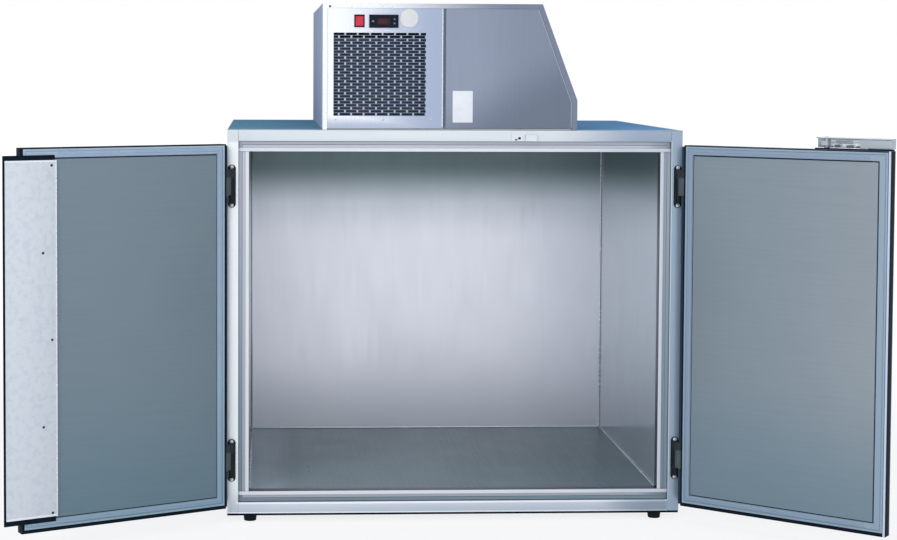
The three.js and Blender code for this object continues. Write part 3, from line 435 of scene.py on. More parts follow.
@dataclass(frozen=True)
class FrameSteel:
    """The front frame's steel, which is toned by how deep it is folded back.

    The flange is bright, the landing for the seal is greyer and the lip is white. The folds
    between them carry painted shade, and some fold lines a painted highlight. The right side and
    the bottom carry cooler painted shade than the left. The outer sides are as the casing's, and
    the top edge carries a dark painted shadow line at its front and then the roof's painted blue
    reflection.
    """

    name: str = "front_frame_steel"
    flange: Colour = srgb(238, 243, 247)
    crown: Colour = srgb(213, 220, 225)
    landing: Colour = srgb(168, 175, 188)
    # Darker painted shade, towards the bottom and the right
    low: Colour = srgb(116, 135, 148)
    lip: Colour = srgb(217, 220, 227)
    # The dark tone of the folds is painted shade
    fold: Colour = srgb(52, 62, 74)
    # Cooler painted shade at the right and below, also used for random clouding
    cool: Colour = srgb(148, 163, 184)
    # Painted shade on the right flange
    cold: Colour = srgb(148, 168, 186)
    # A dark painted shadow line at the front of the top edge
    roof: Colour = srgb(30, 52, 78)
    side: Colour = srgb(176, 186, 198)
    # The roof's blue, a painted reflection
    sheet: Colour = srgb(104, 148, 172)

    def cooled(self, recipe: Recipe) -> Value:
        """The share of the cooler painted shade, at the right and below.

        Args:
            recipe: The material that is being made.

        Returns:
            The share.
        """
        low = (1 - recipe.z.rise(0.0, 0.08)) * (0.62 + recipe.x.rise(-0.4, 0.0) * 0.10)
        return (recipe.x.rise(0.22, 0.50) * 0.95).most(low)

    def flange_tone(self, recipe: Recipe, inset: Value) -> bpy.types.NodeSocket:
        """The flat front's tone, with cooler painted shade at the right and below, and painted
        highlights along its fold lines.

        Args:
            recipe: The material that is being made.
            inset: The distance in from the frame's outer edge.

        Returns:
            The colour's socket.
        """
        below = 1 - recipe.z.rise(0.028, 0.032)
        # Painted highlights along the bottom flange's two fold lines
        folds = (1 - inset.rise(0.0026, 0.0040)).most(inset.rise(0.0236, 0.0250))
        # The right flange below the top carries painted shade
        corner = recipe.x.rise(0.554, 0.562) * (1 - recipe.z.rise(0.94, 0.965) * 0.85)
        # A painted highlight along the right flange's inner edge
        lit = inset.rise(0.0272, 0.0278) * recipe.x.rise(0.552, 0.558)
        return recipe.layers(
            self.flange,
            (recipe.z.rise(0.960, 0.967), self.crown),
            (self.cooled(recipe), self.cool),
            (folds * (1 - recipe.z.rise(0.030, 0.034)) * 0.8, self.flange),
            (recipe.x.rise(0.36, 0.52) * below * (1 - corner) * 0.6, self.low),
            (corner, self.cold),
            (lit * 0.7, self.flange),
        )

    def landing_tone(self, recipe: Recipe, inset: Value) -> bpy.types.NodeSocket:
        """The seal landing's tone, with painted shade towards the bottom and the right, a painted
        shadow line along each side and a painted highlight beside the lip.

        Args:
            recipe: The material that is being made.
            inset: The distance in from the frame's outer edge.

        Returns:
            The colour's socket.
        """
        right = recipe.x.rise(0.48, 0.55)
        return recipe.layers(
            self.landing,
            (1 - recipe.z.rise(0.03, 0.95), self.low),
            (inset.rise(0.0385, 0.0395) * (1 - right) * 0.3, self.lip),
            (inset.within(0.0378, 0.0390, 0.0003), self.fold),
            (1 - inset.rise(0.0295, 0.0310), self.fold),
            (right * 0.45, self.low),
        )

    def make(self) -> bpy.types.Material:
        """Builds the material.

        Returns:
            The material.
        """
        recipe = Recipe(self.name)
        depth = recipe.y - FRONT
        inset = (SIDE - abs(recipe.x)).least(recipe.z).least(HEIGHT - recipe.z)
        inner = inset.rise(0.0007, 0.0012)
        fine = recipe.noise(Grain.FINE.value, 3.0, 0.6)
        cloud = recipe.noise((5.0, 5.0, 5.0), 3.0, 0.6)
        # The turned-back faces inside the frame carry painted shade; the outer sides keep the
        # casing's tone
        turned = recipe.mix(1 - inner, self.fold, self.side)
        # The lip carries a little of the cooler painted shade at the right and below
        lip = recipe.mix(self.cooled(recipe) * 0.3, self.lip, self.cool)
        # The top edge: a dark painted shadow line at its front, then the roof's painted blue
        # reflection
        roof = recipe.mix(depth.rise(0.003, 0.005), self.roof, self.sheet)
        colour = recipe.layers(
            self.flange_tone(recipe, inset),
            (depth.rise(0.0008, 0.002), turned),
            (depth.within(0.0062, 0.0086, 0.0005) * inner, lip),
            (depth.rise(0.0088, 0.0096) * inner, self.landing_tone(recipe, inset)),
            (depth.rise(0.0106, 0.016), turned),
            (recipe.z.rise(0.9942, 0.9948), roof),
            (cloud.rise(0.5, 0.8) * 0.10, self.cool),
        )
        rough = 0.32 + (fine - 0.5) * 0.1 + (cloud - 0.5) * 0.12
        return recipe.close(
            colour, Roughness=rough, Metallic=0.3, Normal=recipe.bump(fine, 0.0002, 0.15)
        )


@dataclass(frozen=True)
class Patches:
    """Soft patches of a second tone: their noise, and where in it they start and are full."""

    stretch: Point
    detail: float
    rough: float
    start: float
    end: float


@dataclass(frozen=True)
class Coat:
    """A painted or moulded surface with a fine grain and a second tone in patches."""

    name: str
    colour: Colour
    second: Colour
    roughness: float = 0.45
    metallic: float = 0.0
    gloss: float = 0.5
    grain: float = 700.0
    wear: float = 1.0
    washes: tuple[Wash, ...] = ()
    # A faint painted glow in the surface's own colour, though no lamp is in it
    glow: float = 0.0
    patches: Patches = Patches((16.0, 16.0, 16.0), 5.0, 0.65, 0.5, 0.78)
    sway: float = 0.2
    relief: tuple[float, float] = (0.0003, 0.3)
    dusty: bool = False

    def make(self) -> bpy.types.Material:
        """Builds the material, with dust over its washes and wear under them.

        Returns:
            The material.
        """
        recipe = Recipe(self.name)
        grain = recipe.noise((self.grain,) * 3, 2.0)
        kind = self.patches
        patch = recipe.noise(kind.stretch, kind.detail, kind.rough)
        share = patch.rise(kind.start, kind.end) * self.wear
        colour = washed(recipe, self.washes if self.dusty else (), self.colour)
        colour = recipe.mix(share, colour, self.second)
        colour = washed(recipe, () if self.dusty else self.washes, colour)
        light = {"Emission_Color": colour, "Emission_Strength": self.glow} if self.glow else {}
        return recipe.close(
            colour, Roughness=(self.roughness + (patch - 0.5) * self.sway).most(0.08),
            Metallic=self.metallic, Specular_IOR_Level=self.gloss,
            Normal=recipe.bump(grain, *self.relief), **light,
        )


@dataclass(frozen=True)
class Paint(Coat):
    """Sprayed or powder-coated metal with a faint orange-peel and worn tone."""

    metallic: float = 0.2
    wear: float = 0.5


@dataclass(frozen=True)
class Rubber(Coat):
    """Moulded rubber or soft plastic, dusty in patches."""

    roughness: float = 0.68
    gloss: float = 0.3
    grain: float = 900.0
    wear: float = 0.4
    patches: Patches = Patches((22.0, 22.0, 14.0), 4.0, 0.6, 0.42, 0.75)
    relief: tuple[float, float] = (0.0003, 0.35)
    dusty: bool = True


@dataclass(frozen=True)
class Plastic(Coat):
    """Moulded plastic with a spark-eroded grain."""

    roughness: float = 0.4
    gloss: float = 0.4
    grain: float = 1400.0
    wear: float = 0.6
    patches: Patches = Patches((30.0, 30.0, 30.0), 3.0, 0.5, 0.35, 0.75)
    sway: float = 0.12
    relief: tuple[float, float] = (0.0002, 0.3)


@dataclass(frozen=True)
class DoorEdge:
    """The dark painted edge of a door, whose inner rim can carry a painted highlight along the free
    edge.

    The rim is toned by how far a place lies across the door and how far inward.
    """

    name: str
    across: Point
    inward: Point
    free: float
    face: float
    # How strong the rim's painted highlight is
    shine: float
    washes: tuple[Wash, ...] = ()
    colour: Colour = srgb(10, 20, 30)
    worn: Colour = srgb(24, 38, 50)
    # The painted highlight's colour
    bright: Colour = srgb(196, 210, 228)

    def make(self) -> bpy.types.Material:
        """Builds the material.

        Returns:
            The material.
        """
        recipe = Recipe(self.name)
        peel = recipe.noise((700.0,) * 3, 2.0)
        patch = recipe.noise((14.0, 14.0, 8.0), 4.0, 0.6)
        on_rim = recipe.along(self.inward).rise(self.face - 0.0011, self.face - 0.0004)
        at_edge = recipe.along(self.across).rise(self.free - 0.0062, self.free - 0.0046)
        colour = recipe.layers(
            self.colour,
            (patch.rise(0.45, 0.75) * 0.7, self.worn),
            (on_rim * at_edge * self.shine, self.bright),
        )
        return recipe.close(
            washed(recipe, self.washes, colour), Roughness=0.42 + (patch - 0.5) * 0.15,
            Metallic=0.0, Specular_IOR_Level=0.05, Normal=recipe.bump(peel, 0.0003, 0.2),
        )


@dataclass(frozen=True)
class Foam:
    """Rigid insulating foam, pale and open-celled."""

    name: str = "rigid_foam"
    colour: Colour = srgb(232, 222, 190)
    pit: Colour = srgb(176, 158, 118)

    def make(self) -> bpy.types.Material:
        """Builds the material.

        Returns:
            The material.
        """
        recipe = Recipe(self.name)
        cell = recipe.cells(500.0)
        stain = recipe.noise((7.0, 7.0, 7.0), 3.0)
        pits = cell.rise(0.25, 0.75) * 0.6 + stain.rise(0.5, 0.8) * 0.3
        colour = recipe.mix(pits, self.colour, self.pit)
        return recipe.close(colour, Roughness=0.95, Normal=recipe.bump(cell, 0.0006, 0.6))


@dataclass(frozen=True)
class Fins:
    """Thin dusty aluminium fins side by side, painted as lit fins with painted shade in the gaps
    between them.
    """

    name: str
    pitch: float = 0.0022
    lit: Colour = srgb(168, 172, 178)
    gap: Colour = srgb(38, 42, 48)
    dust: Colour = srgb(110, 106, 100)

    def make(self) -> bpy.types.Material:
        """Builds the material.

        Returns:
            The material.
        """
        recipe = Recipe(self.name)
        wave = (recipe.x * (math.tau / self.pitch)).wave() * 0.5 + 0.5
        dust = recipe.noise((18.0, 18.0, 40.0), 4.0, 0.6)
        colour = recipe.layers(
            self.gap, (wave.rise(0.25, 0.6), self.lit), (dust.rise(0.45, 0.8) * 0.4, self.dust)
        )
        return recipe.close(
            colour, Roughness=0.42 + (dust - 0.5) * 0.2, Metallic=0.5,
            Normal=recipe.bump(wave, 0.0008, 0.6),
        )


@dataclass(frozen=True)
class GrilleSteel:
    """The grille panel's bright steel, with painted shade on its slotted field and towards the right
    and bottom.
    """

    name: str = "grille_steel"
    colour: Colour = srgb(240, 243, 248)
    faded: Colour = srgb(160, 172, 196)
    web: Colour = srgb(160, 172, 194)
    thin: Colour = srgb(104, 118, 142)
    left: float = -0.3176
    right: float = -0.0796
    low: float = 1.0310
    high: float = 1.2449
    row: float = 0.00764
    slot: float = 0.0061
    soft: float = 0.0004

    def make(self) -> bpy.types.Material:
        """Builds the material.

        Returns:
            The material.
        """
        recipe = Recipe(self.name)
        fine = recipe.noise(Grain.UPRIGHT.value, 3.0, 0.6)
        cloud = recipe.noise((8.0, 8.0, 8.0), 3.0)
        field = recipe.x.within(self.left, self.right, self.soft)
        field = field * recipe.z.within(self.low, self.high, self.soft)
        # Painted shade towards the right and along the bottom
        fade = recipe.x.rise(-0.33, -0.05).most((1 - recipe.z.rise(1.004, 1.036)) * 0.85)
        place = ((self.high - recipe.z) / self.row).rest()
        between = place.within(self.slot / self.row, 1.0, 0.004)
        # The field's webs carry painted shade, darker still between the rows
        colour = recipe.layers(
            self.colour,
            (fade, self.faded),
            (field * 0.85, self.web),
            (field * between * 0.9, self.thin),
            (fine.rise(0.35, 0.7) * 0.1, self.faded),
        )
        return recipe.close(
            colour, Roughness=0.32 + (fine - 0.5) * 0.14 + (cloud - 0.5) * 0.1, Metallic=0.3,
            Specular_IOR_Level=0.3, Normal=recipe.bump(fine, 0.0002, 0.15),
        )


Finish = BrushedSteel | FrameSteel | Coat | DoorEdge | Foam | Fins | GrilleSteel


@cache
def material_of(finish: Finish) -> bpy.types.Material:
    """The one material of a finish, built the first time that it is asked for."""
    return finish.make()


# Ways along which the washes run
RIGHTWARDS = (1, 0, 0)
LEFTWARDS = (-1, 0, 0)
UPWARDS = (0, 0, 1)
DOWNWARDS = (0, 0, -1)


def lining(name: str, colour: Colour) -> BrushedSteel:
    """The steel of the cavity's side, with painted shade towards the ceiling."""
    shade = Wash(UPWARDS, 0.76, 0.90, srgb(98, 116, 118), 0.9)
    return BrushedSteel(name, colour, Grain.UPRIGHT, 0.6, 0.18, 0.04, 0.05, washes=(shade,))


def seal_rubber(name: str, colour: Colour, dust: Colour, low: Colour, edge: Colour) -> Rubber:
    """A door seal's rubber, with painted shade downwards and beside the right hinges.

    Args:
        name: The material's name.
        colour: Its tone at the top.
        dust: The tone of its dusty patches.
        low: Its painted shade at the bottom.
        edge: Its painted shade beside the right hinges.

    Returns:
        The finish.
    """
    washes = (
        Wash(DOWNWARDS, -0.50, -0.02, low, 0.8),
        Wash(RIGHTWARDS, 0.55, 0.60, edge, 0.8),
    )
    return Rubber(name, colour, dust, 0.6, gloss=0.2, wear=0.45, washes=washes)


class Stock:
    """The finishes that the cooler is made in."""

    FRAME = FrameSteel()
    SIDE = BrushedSteel("side_steel", srgb(176, 186, 198), metallic=0.45)
    BACK = BrushedSteel("back_steel", srgb(168, 178, 190), metallic=0.45)
    # The roof's blue is a painted reflection, with painted light making it lighter towards the right
    ROOF = BrushedSteel(
        "roof_steel", srgb(104, 148, 172), Grain.DEEP, 0.0, 0.6, 0.14, 0.12, gloss=0.0,
        washes=(Wash(RIGHTWARDS, 0.15, 0.55, srgb(116, 162, 208), 0.9),),
    )
    # Painted shade: greyer upwards and darker still towards the ceiling
    LINER_BACK = BrushedSteel(
        "back_lining", srgb(228, 231, 243), metallic=0.85, streak=0.03, cloud=0.05,
        washes=(
            Wash(UPWARDS, 0.62, 0.80, srgb(192, 201, 212)),
            Wash(UPWARDS, 0.735, 0.865, srgb(92, 111, 114), 0.95),
        ),
    )
    LINER_SIDE = lining("side_lining", srgb(184, 197, 206))
    # The left lining is painted darker than the right one, as shade
    LINER_LEFT = lining("left_lining", srgb(132, 150, 161))
    # Painted light: paler at the left end and darker towards the front right
    LINER_FLOOR = BrushedSteel(
        "floor_lining", srgb(118, 143, 151), Grain.DEEP, 0.12, 0.32, 0.08, 0.10, gloss=0.15,
        washes=(
            Wash(LEFTWARDS, 0.40, 0.50, srgb(176, 196, 205), 0.8),
            Wash(RIGHTWARDS, -0.20, 0.45, srgb(86, 106, 112), 0.6),
        ),
    )
    LINER_TOP = BrushedSteel("ceiling_lining", srgb(170, 176, 190), Grain.DEEP, 0.5, 0.3)
    GALVANISED = Paint(
        "zinc_sheet", srgb(150, 156, 164), srgb(116, 124, 134), 0.42, 0.5, grain=60.0, wear=0.6
    )
    FOAM = Foam()
    FOOT = Rubber("foot_rubber", srgb(16, 24, 28), srgb(44, 54, 60), gloss=0.1)
    # A dark strip that stands in for the shade in the gap beside the hinges
    FLAP = Rubber("flap_rubber", srgb(40, 58, 78), srgb(52, 70, 90), gloss=0.05)
    # Also the dark strips that stand in for shade under the front edge and under the latch's lever
    DARK_SEAL = Rubber("strip_rubber", srgb(14, 24, 34), srgb(30, 44, 58), gloss=0.05)
    SEAL_RING = seal_rubber(
        "seal_ring_rubber", srgb(162, 182, 198), srgb(146, 166, 184),
        srgb(136, 162, 178), srgb(142, 160, 174),
    )
    SEAL = seal_rubber(
        "door_seal_rubber", srgb(152, 170, 193), srgb(138, 157, 178),
        srgb(130, 156, 172), srgb(136, 153, 172),
    )
    HINGE_BLACK = Paint("hinge_black", srgb(20, 26, 31), srgb(40, 47, 53), 0.4, 0.0, 0.15)
    BRIGHT = BrushedSteel("bright_steel", srgb(226, 231, 238), Grain.ACROSS, 0.4, 0.26)
    # A painted highlight along the lever's top edge
    LEVER = BrushedSteel(
        "lever_steel", srgb(172, 181, 190), Grain.FINE, 0.4, 0.24,
        washes=(Wash(UPWARDS, 0.986, 0.9895, srgb(228, 232, 238)),),
    )
    PLATE = BrushedSteel(
        "centre_plate", srgb(207, 213, 220), Grain.FINE, 0.1, 0.46, 0.16, 0.30,
        (70.0, 70.0, 70.0),
    )
    # Painted shade: the hood's front fades from white at the left to blue-grey at the right, and its
    # left side is painted darker and made less metallic
    HOOD_SIDE = Wash(LEFTWARDS, 0.3450, 0.3458, srgb(172, 184, 208))
    HOOD = BrushedSteel(
        "hood_steel", srgb(240, 243, 247), Grain.FINE, 0.3, 0.3, 0.05, 0.04,
        washes=(Wash(RIGHTWARDS, -0.28, 0.16, srgb(122, 131, 150)), HOOD_SIDE),
        gloss=0.0, dull=HOOD_SIDE,
    )
    GRILLE = GrilleSteel()
    # Painted shade: darker towards the right and lower right
    PLAIN = BrushedSteel(
        "plain_panel_steel", srgb(138, 147, 166), metallic=0.3,
        washes=(
            Wash(RIGHTWARDS, 0.02, 0.20, srgb(124, 133, 152), 0.7),
            Wash((0.5, 0, -0.866), -0.95, -0.80, srgb(102, 112, 130), 0.85),
        ),
    )
    SCREW = Paint("screw_steel", srgb(204, 210, 218), srgb(160, 166, 176), 0.28, 0.6, grain=900.0)
    SCREW_DARK = Paint(
        "screw_dark", srgb(44, 50, 62), srgb(80, 86, 96), 0.4, 0.3, 0.3, 900.0
    )
    GAP = Paint("panel_gap_grey", srgb(92, 102, 120), srgb(70, 80, 98), 0.5, 0.0, 0.1)
    BLACK = Plastic("black_plastic", srgb(18, 25, 38), srgb(28, 36, 50), 0.35, gloss=0.1)
    KEY = Plastic("key_plastic", srgb(40, 46, 58), srgb(60, 66, 78), gloss=0.25)
    FAN = Plastic("fan_plastic", srgb(40, 44, 50), srgb(60, 64, 70), 0.5)
    # The switch, the display window, its figures and the symbols glow faintly, as painted light,
    # though no lamp is in them
    RED = Plastic(
        "switch_red", srgb(196, 52, 72), srgb(168, 36, 56), 0.25, gloss=0.3, grain=900.0, glow=0.1
    )
    DISPLAY = Plastic(
        "display_window", srgb(44, 8, 18), srgb(24, 6, 14), 0.14, gloss=0.3, grain=300.0, glow=0.1
    )
    DIGIT = Plastic(
        "display_digit", srgb(88, 24, 34), srgb(70, 18, 28), 0.3, grain=300.0, glow=0.1
    )
    SYMBOL = Plastic(
        "control_symbol", srgb(150, 166, 190), srgb(120, 138, 164), grain=300.0, glow=0.1
    )
    DISC = Plastic(
        "plain_disc", srgb(216, 217, 216), srgb(200, 202, 202), 0.35, gloss=0.2, grain=600.0
    )
    CARD = Plastic("plain_label_plate", srgb(224, 228, 233), srgb(206, 211, 219), 0.45, grain=500.0)
    COIL = Fins("coil_fins")
    # The condenser's fins are painted darker, as shade inside the unit
    CONDENSER = Fins("condenser_fins", lit=srgb(62, 76, 94), gap=srgb(10, 14, 22))
    ENAMEL = Paint(
        "black_enamel", srgb(30, 32, 36), srgb(56, 58, 62), 0.28, 0.1, grain=500.0, wear=0.4
    )


# The finish of a node's slot, where a call names no finish
SLOT_FINISH: dict[str, Finish] = {
    "hinge_black": Stock.HINGE_BLACK,
    "galvanised": Stock.GALVANISED,
    "foam": Stock.FOAM,
    "black_plastic": Stock.BLACK,
    "key_plastic": Stock.KEY,
    "fan_plastic": Stock.FAN,
    "red_plastic": Stock.RED,
    "fins": Stock.COIL,
    "enamel": Stock.ENAMEL,
}


# Shaping


class Workpiece:
    """A mesh on the bench: bmesh operators shape it, and it is then put on the cooler."""

    def __init__(self) -> None:
        """Starts with nothing."""
        self.mesh = bmesh.new()

    @classmethod
    def of_node(cls, node: str) -> "Workpiece":
        """A merged copy of a CAD node's mesh with its flat faces joined.

        Args:
            node: The node's name.

        Returns:
            The copy.
        """
        piece = cls()
        piece.mesh.from_mesh(frame["nodes"][node].data)
        verts, edges = piece.mesh.verts, piece.mesh.edges
        bmesh.ops.remove_doubles(piece.mesh, verts=verts, dist=SAME_PLACE)
        bmesh.ops.dissolve_limit(piece.mesh, angle_limit=FLAT, verts=verts, edges=edges)
        return piece

    def block(self, low: Point, high: Point, edge: float = 0.0, segments: int = 2) -> "Workpiece":
        """Adds a box between two corners.

        Args:
            low: One corner.
            high: The corner across from it.
            edge: The rounding of its edges.
            segments: The faces round each edge.

        Returns:
            The workpiece.
        """
        a, b = Vector(low), Vector(high)
        size = Vector((abs(v) for v in b - a))
        place = Matrix.Translation((a + b) / 2) @ Matrix.Diagonal((*size, 1.0))
        made = bmesh.ops.create_cube(self.mesh, size=1.0, matrix=place)
        return self.round(made["verts"], edge, segments)

    def rod(
        self, start: Point, end: Point, radius: float, tip: float | None = None,
        edge: float = 0.0, sides: int = 28,
    ) -> "Workpiece":
        """Adds a round bar or cone from one point to another.

        Args:
            start: The middle of the first end.
            end: The middle of the second end.
            radius: The radius at the first end.
            tip: The radius at the second end, where it differs.
            edge: The rounding of its end edges.
            sides: The faces round it.

        Returns:
            The workpiece.
        """
        a, b = Vector(start), Vector(end)
        turn = (b - a).to_track_quat("Z", "Y").to_matrix().to_4x4()
        made = bmesh.ops.create_cone(
            self.mesh, cap_ends=True, segments=sides, radius1=radius,
            radius2=radius if tip is None else tip, depth=(b - a).length,
            matrix=Matrix.Translation((a + b) / 2) @ turn,
        )
        return self.round(made["verts"], edge, 2)

    def round(
        self, verts: Iterable[bmesh.types.BMVert], edge: float, segments: int
    ) -> "Workpiece":
        """Rounds the sharp edges among some vertices.

        Args:
            verts: The vertices of the shape.
            edge: The width of the rounding, or 0 for none.
            segments: The faces round each edge.

        Returns:
            The workpiece.
        """
        if edge > 0:
            kept = set(verts)
            sharp = [e for e in self.mesh.edges
                     if kept.issuperset(e.verts) and e.calc_face_angle(0) > SHARP]
            bmesh.ops.bevel(
                self.mesh, geom=sharp, offset=edge, offset_type="OFFSET", segments=segments,
                profile=0.5, affect="EDGES", clamp_overlap=True, material=-1,
            )
        return self

    def rounded(self, edge: float, segments: int = 2) -> "Workpiece":
        """Rounds every sharp edge."""
        return self.round(list(self.mesh.verts), edge, segments)

    def swept(self, stations: Sequence[Sequence[Vector]], closed: bool) -> "Workpiece":
        """Draws a section through its places at each station.

        Args:
            stations: The section's points at each station, in the same order.
            closed: True where the last station joins the first.

        Returns:
            The workpiece.
        """
        first = [self.mesh.verts.new(p) for p in stations[0]]
        edges = [self.mesh.edges.new((a, b)) for a, b in zip(first, [*first[1:], first[0]])]
        if not closed:
            self.mesh.faces.new(first)
        order = {tuple(v.co): i for i, v in enumerate(first)}
        rest = [*stations[1:], *([stations[0]] if closed else [])]
        for station in rest:
            made = bmesh.ops.extrude_edge_only(self.mesh, edges=edges)["geom"]
            verts = [g for g in made if isinstance(g, bmesh.types.BMVert)]
            edges = [g for g in made if isinstance(g, bmesh.types.BMEdge)]
            places = {v: order[tuple(v.co)] for v in verts}
            for vert, index in places.items():
                vert.co = station[index]
            order = {tuple(v.co): index for v, index in places.items()}
        if closed:
            bmesh.ops.remove_doubles(self.mesh, verts=self.mesh.verts, dist=SAME_PLACE)
        else:
            bmesh.ops.holes_fill(self.mesh, edges=edges, sides=0)
        return self.outward()

    def spun(self, profile: Sequence[tuple[float, float]], centre: Point, steps: int) -> "Workpiece":
        """Turns a profile of radius and height round an upright axis.

        Args:
            profile: Radius and height pairs.
            centre: The foot of the axis.
            steps: The faces round the turn.

        Returns:
            The workpiece.
        """
        base = Vector(centre)
        verts = [self.mesh.verts.new(base + Vector((r, 0.0, h))) for r, h in profile]
        edges = [self.mesh.edges.new(pair) for pair in zip(verts, verts[1:])]
        bmesh.ops.spin(
            self.mesh, geom=[*verts, *edges], cent=base, axis=UPWARDS, angle=math.tau,
            steps=steps, use_merge=True,
        )
        bmesh.ops.remove_doubles(self.mesh, verts=self.mesh.verts, dist=SAME_PLACE)
        return self.outward()

    def outward(self) -> "Workpiece":
        """Turns every face outwards."""
        bmesh.ops.recalc_face_normals(self.mesh, faces=self.mesh.faces)
        return self

    def moved(self, matrix: Matrix) -> "Workpiece":
        """Carries the mesh to its place.

        Args:
            matrix: The move, which may mirror.

        Returns:
            The workpiece.
        """
        self.mesh.transform(matrix)
        if matrix.determinant() < 0:
            bmesh.ops.reverse_faces(self.mesh, faces=self.mesh.faces)
        return self

    def joined(self, other: "Workpiece", matrix: Matrix) -> "Workpiece":
        """Adds another workpiece at its place and uses it up.

        Args:
            other: The workpiece to add.
            matrix: The move to its place.

        Returns:
            The workpiece.
        """
        other.mesh.transform(matrix)
        spare = bpy.data.meshes.new("spare")
        other.mesh.to_mesh(spare)
        other.mesh.free()
        self.mesh.from_mesh(spare)
        bpy.data.meshes.remove(spare)
        return self

    def settled(self) -> "Workpiece":
        """Puts the points and faces in an order that is the same in every run.

        Blender's operators leave them in an order that depends on memory.

        Returns:
            The new workpiece, smooth but for its creases.
        """
        points = sorted(self.mesh.verts, key=lambda vert: tuple(vert.co))
        place = {vert: index for index, vert in enumerate(points)}
        rings = [[place[vert] for vert in face.verts] for face in self.mesh.faces]
        starts = [ring.index(min(ring)) for ring in rings]
        piece = Workpiece()
        verts = [piece.mesh.verts.new(vert.co) for vert in points]
        for ring in sorted(ring[at:] + ring[:at] for ring, at in zip(rings, starts)):
            piece.mesh.faces.new([verts[index] for index in ring]).smooth = True
        piece.mesh.normal_update()
        for edge in piece.mesh.edges:
            edge.smooth = edge.calc_face_angle(0) < CREASE
        self.mesh.free()
        return piece

    def fit(
        self, name: str, finish: Finish, body: str, slot: str, replaces: Sequence[str] = ()
    ) -> None:
        """Makes the finished piece and puts it on its body.

        Args:
            name: The piece's name.
            finish: The finish that it is made in.
            body: The body that it rides on.
            slot: The record's material slot; not used.
            replaces: The CAD nodes that it stands for.
        """
        mesh = self.settled().mesh
        data = bpy.data.meshes.new(name)
        mesh.to_mesh(data)
        mesh.free()
        data.materials.append(material_of(finish))
        piece = show(name, data)
        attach(piece, body)
        if replaces:
            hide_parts(*replaces)
        LOG.info("%s rides on %s", name, body)


def carry(node: str, finish: Finish | None = None) -> None:
    """Keeps a CAD node's shape and gives it its finish.

    Args:
        node: The node's name.
        finish: The finish, where it isn't its slot's own.
    """
    piece = frame["nodes"][node]
    material = material_of(finish or SLOT_FINISH[SLOT_OF[node]])
    if piece.material_slots:
        for holder in piece.material_slots:
            holder.material = material
    else:
        piece.data.materials.append(material)
    LOG.info("%s keeps its shape", node)


def refine(node: str, edge: float, finish: Finish | None = None, segments: int = 2) -> None:
    """Stands a copy with rounded edges in a CAD node's place.

    Args:
        node: The node's name.
        edge: The rounding of its edges in metres.
        finish: The finish, where it isn't its slot's own.
        segments: The faces round each edge.
    """
    slot = SLOT_OF[node]
    Workpiece.of_node(node).rounded(edge, segments).fit(
        f"{node}_finished", finish or SLOT_FINISH[slot], BODY_OF[node], slot, [node]
    )


# A domed screw head, in shares of its radius: its outline outwards and upwards, the half
# lengths of its cross and the cross's foot and top. Each head in a row is turned further.
SCREW_HEAD = (
    (0.0, 0.42), (0.2, 0.42), (0.62, 0.34), (0.9, 0.16), (1.0, -0.02), (1.0, -0.12), (0.0, -0.12),
)
SCREW_CROSS = ((0.5, 0.1), (0.1, 0.5))
CROSS_FOOT, CROSS_TOP = 0.40, 0.46
SCREW_TURN = 0.7


def screws(
    name: str, places: Sequence[Vector], outward: Point, radius: float, finish: Finish,
    body: str, slot: str,
) -> None:
    """Adds a set of domed screw heads with a raised cross.

    Args:
        name: The piece's name.
        places: The middles of the heads on the surface.
        outward: The way that the heads face.
        radius: The radius of a head.
        finish: The finish.
        body: The body that they ride on.
        slot: The record's material slot.
    """
    piece = Workpiece()
    turn = Vector(outward).to_track_quat("Z", "Y").to_matrix().to_4x4()
    for index, place in enumerate(places):
        outline = [(out * radius, up * radius) for out, up in SCREW_HEAD]
        head = Workpiece().spun(outline, (0, 0, 0), 14)
        for wide, deep in SCREW_CROSS:
            head.block(
                (-wide * radius, -deep * radius, CROSS_FOOT * radius),
                (wide * radius, deep * radius, CROSS_TOP * radius),
            )
        spin = Matrix.Rotation(SCREW_TURN * index, 4, "Z")
        piece.joined(head, Matrix.Translation(place) @ turn @ spin)
    piece.fit(name, finish, body, slot)


# The cabinet


